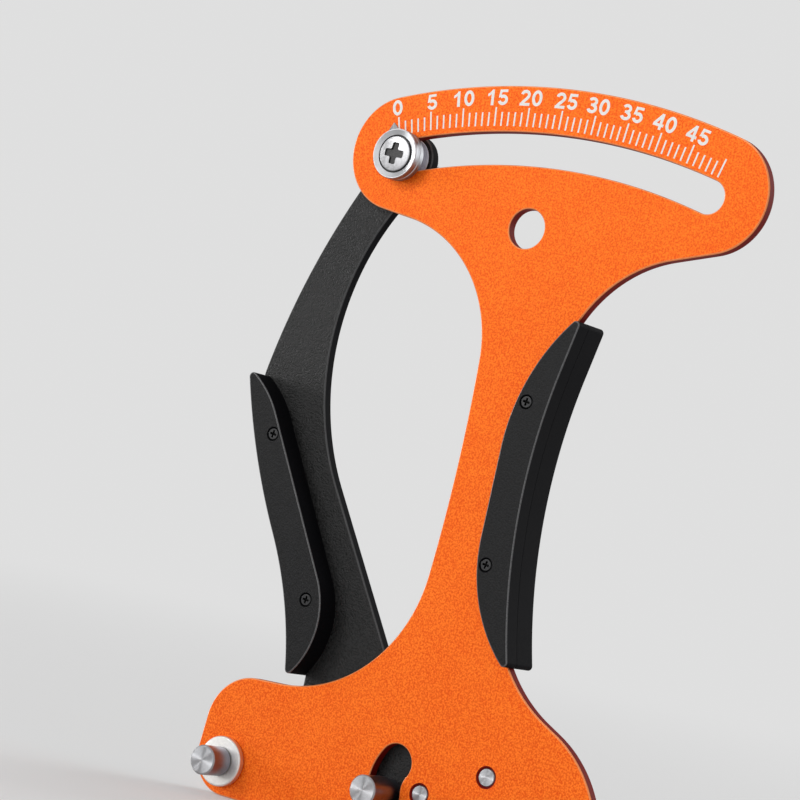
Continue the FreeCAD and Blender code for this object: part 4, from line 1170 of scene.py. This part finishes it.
def floor_material():
    """Pale paper near the object that fades into the world's own level."""
    mat = bpy.data.materials.new("floor_paper")
    mat.use_nodes = True
    nodes = mat.node_tree.nodes
    links = mat.node_tree.links
    shader = nodes["Principled BSDF"]
    shader.inputs["Base Color"].default_value = (FLOOR_SHADE,) * 3 + (1.0,)
    shader.inputs["Roughness"].default_value = 0.9
    shader.inputs["Specular IOR Level"].default_value = 0.1
    far = nodes.new("ShaderNodeEmission")
    links.new(background_level(nodes, links), far.inputs["Strength"])
    coords = nodes.new("ShaderNodeTexCoord")
    distance = nodes.new("ShaderNodeVectorMath")
    distance.operation = "LENGTH"
    links.new(coords.outputs["Object"], distance.inputs[0])
    fade = nodes.new("ShaderNodeMapRange")
    fade.interpolation_type = "SMOOTHSTEP"
    fade.inputs["From Min"].default_value, fade.inputs["From Max"].default_value = FLOOR_FADE
    fade.inputs["To Min"].default_value = FLOOR_GLOW
    links.new(distance.outputs["Value"], fade.inputs["Value"])
    mixed = nodes.new("ShaderNodeMixShader")
    links.new(fade.outputs["Result"], mixed.inputs["Fac"])
    links.new(shader.outputs["BSDF"], mixed.inputs[1])
    links.new(far.outputs["Emission"], mixed.inputs[2])
    links.new(mixed.outputs["Shader"], nodes["Material Output"].inputs["Surface"])
    return mat


mesh = bpy.data.meshes.new("floor")
points = [(0, 0, 0)]
points += [(FLOOR_R * x, FLOOR_R * y, 0) for x, y, _, _ in circle((0, 0), 1.0, FLOOR_SIDES)]
mesh.from_pydata(points, [], [(0, 1 + k, 1 + (k + 1) % FLOOR_SIDES)
                              for k in range(FLOOR_SIDES)])
mesh.materials.append(floor_material())
floor = bpy.data.objects.new("floor", mesh)
floor.location = (AIM.x, 0, cad_low[2])
bpy.context.scene.collection.objects.link(floor)


def lamp(name, spot, size, power):
    light = bpy.data.lights.new(name, "AREA")
    light.shape = "RECTANGLE"
    light.size, light.size_y = size
    light.energy = power
    piece = bpy.data.objects.new(name, light)
    piece.location = spot
    piece.rotation_euler = (AIM - Vector(spot)).to_track_quat("-Z", "Y").to_euler()
    bpy.context.scene.collection.objects.link(piece)


lamp("key", (-0.70, -1.85, 0.40), (1.5, 1.2), 11.5)
lamp("side", (-1.88, -0.5, 0.07), (0.45, 0.45), 10.0)
lamp("high", (-0.95, -1.42, 0.84), (0.45, 0.45), 6.0)
lamp("fill", (0.90, -1.60, 0.10), (1.0, 0.8), 2.5)
lamp("rear", (0.9, 1.7, 0.6), (1.2, 1.2), 15.0)
lamp("top", (0.2, 0.4, 1.8), (0.9, 0.9), 7.0)

world = bpy.data.worlds.new("studio")
world.use_nodes = True
links = world.node_tree.links
background = world.node_tree.nodes["Background"]
background.inputs["Color"].default_value = (1.0, 1.0, 1.0, 1.0)
links.new(background_level(world.node_tree.nodes, links), background.inputs["Strength"])
bpy.context.scene.world = world

# the photograph's camera: its place, and the way its right, its up and its back face
camera = bpy.data.cameras.new("camera")
camera.sensor_width = 36.0
camera.lens = 130.96
camera.clip_start = 0.01
camera.clip_end = 20.0
viewer = bpy.data.objects.new("camera", camera)
right = Vector((0.818495, 0.53173, 0.217554))
up = Vector((-0.162955, -0.148254, 0.975431))
behind = Vector((0.550919, -0.833837, -0.034697))
turned = Matrix((right, up, behind)).transposed().to_4x4()
turned.translation = (0.37425, -0.60623, -0.07243)
viewer.matrix_world = turned
bpy.context.scene.collection.objects.link(viewer)
bpy.context.scene.camera = viewer
bpy.context.scene.view_settings.view_transform = "Standard"
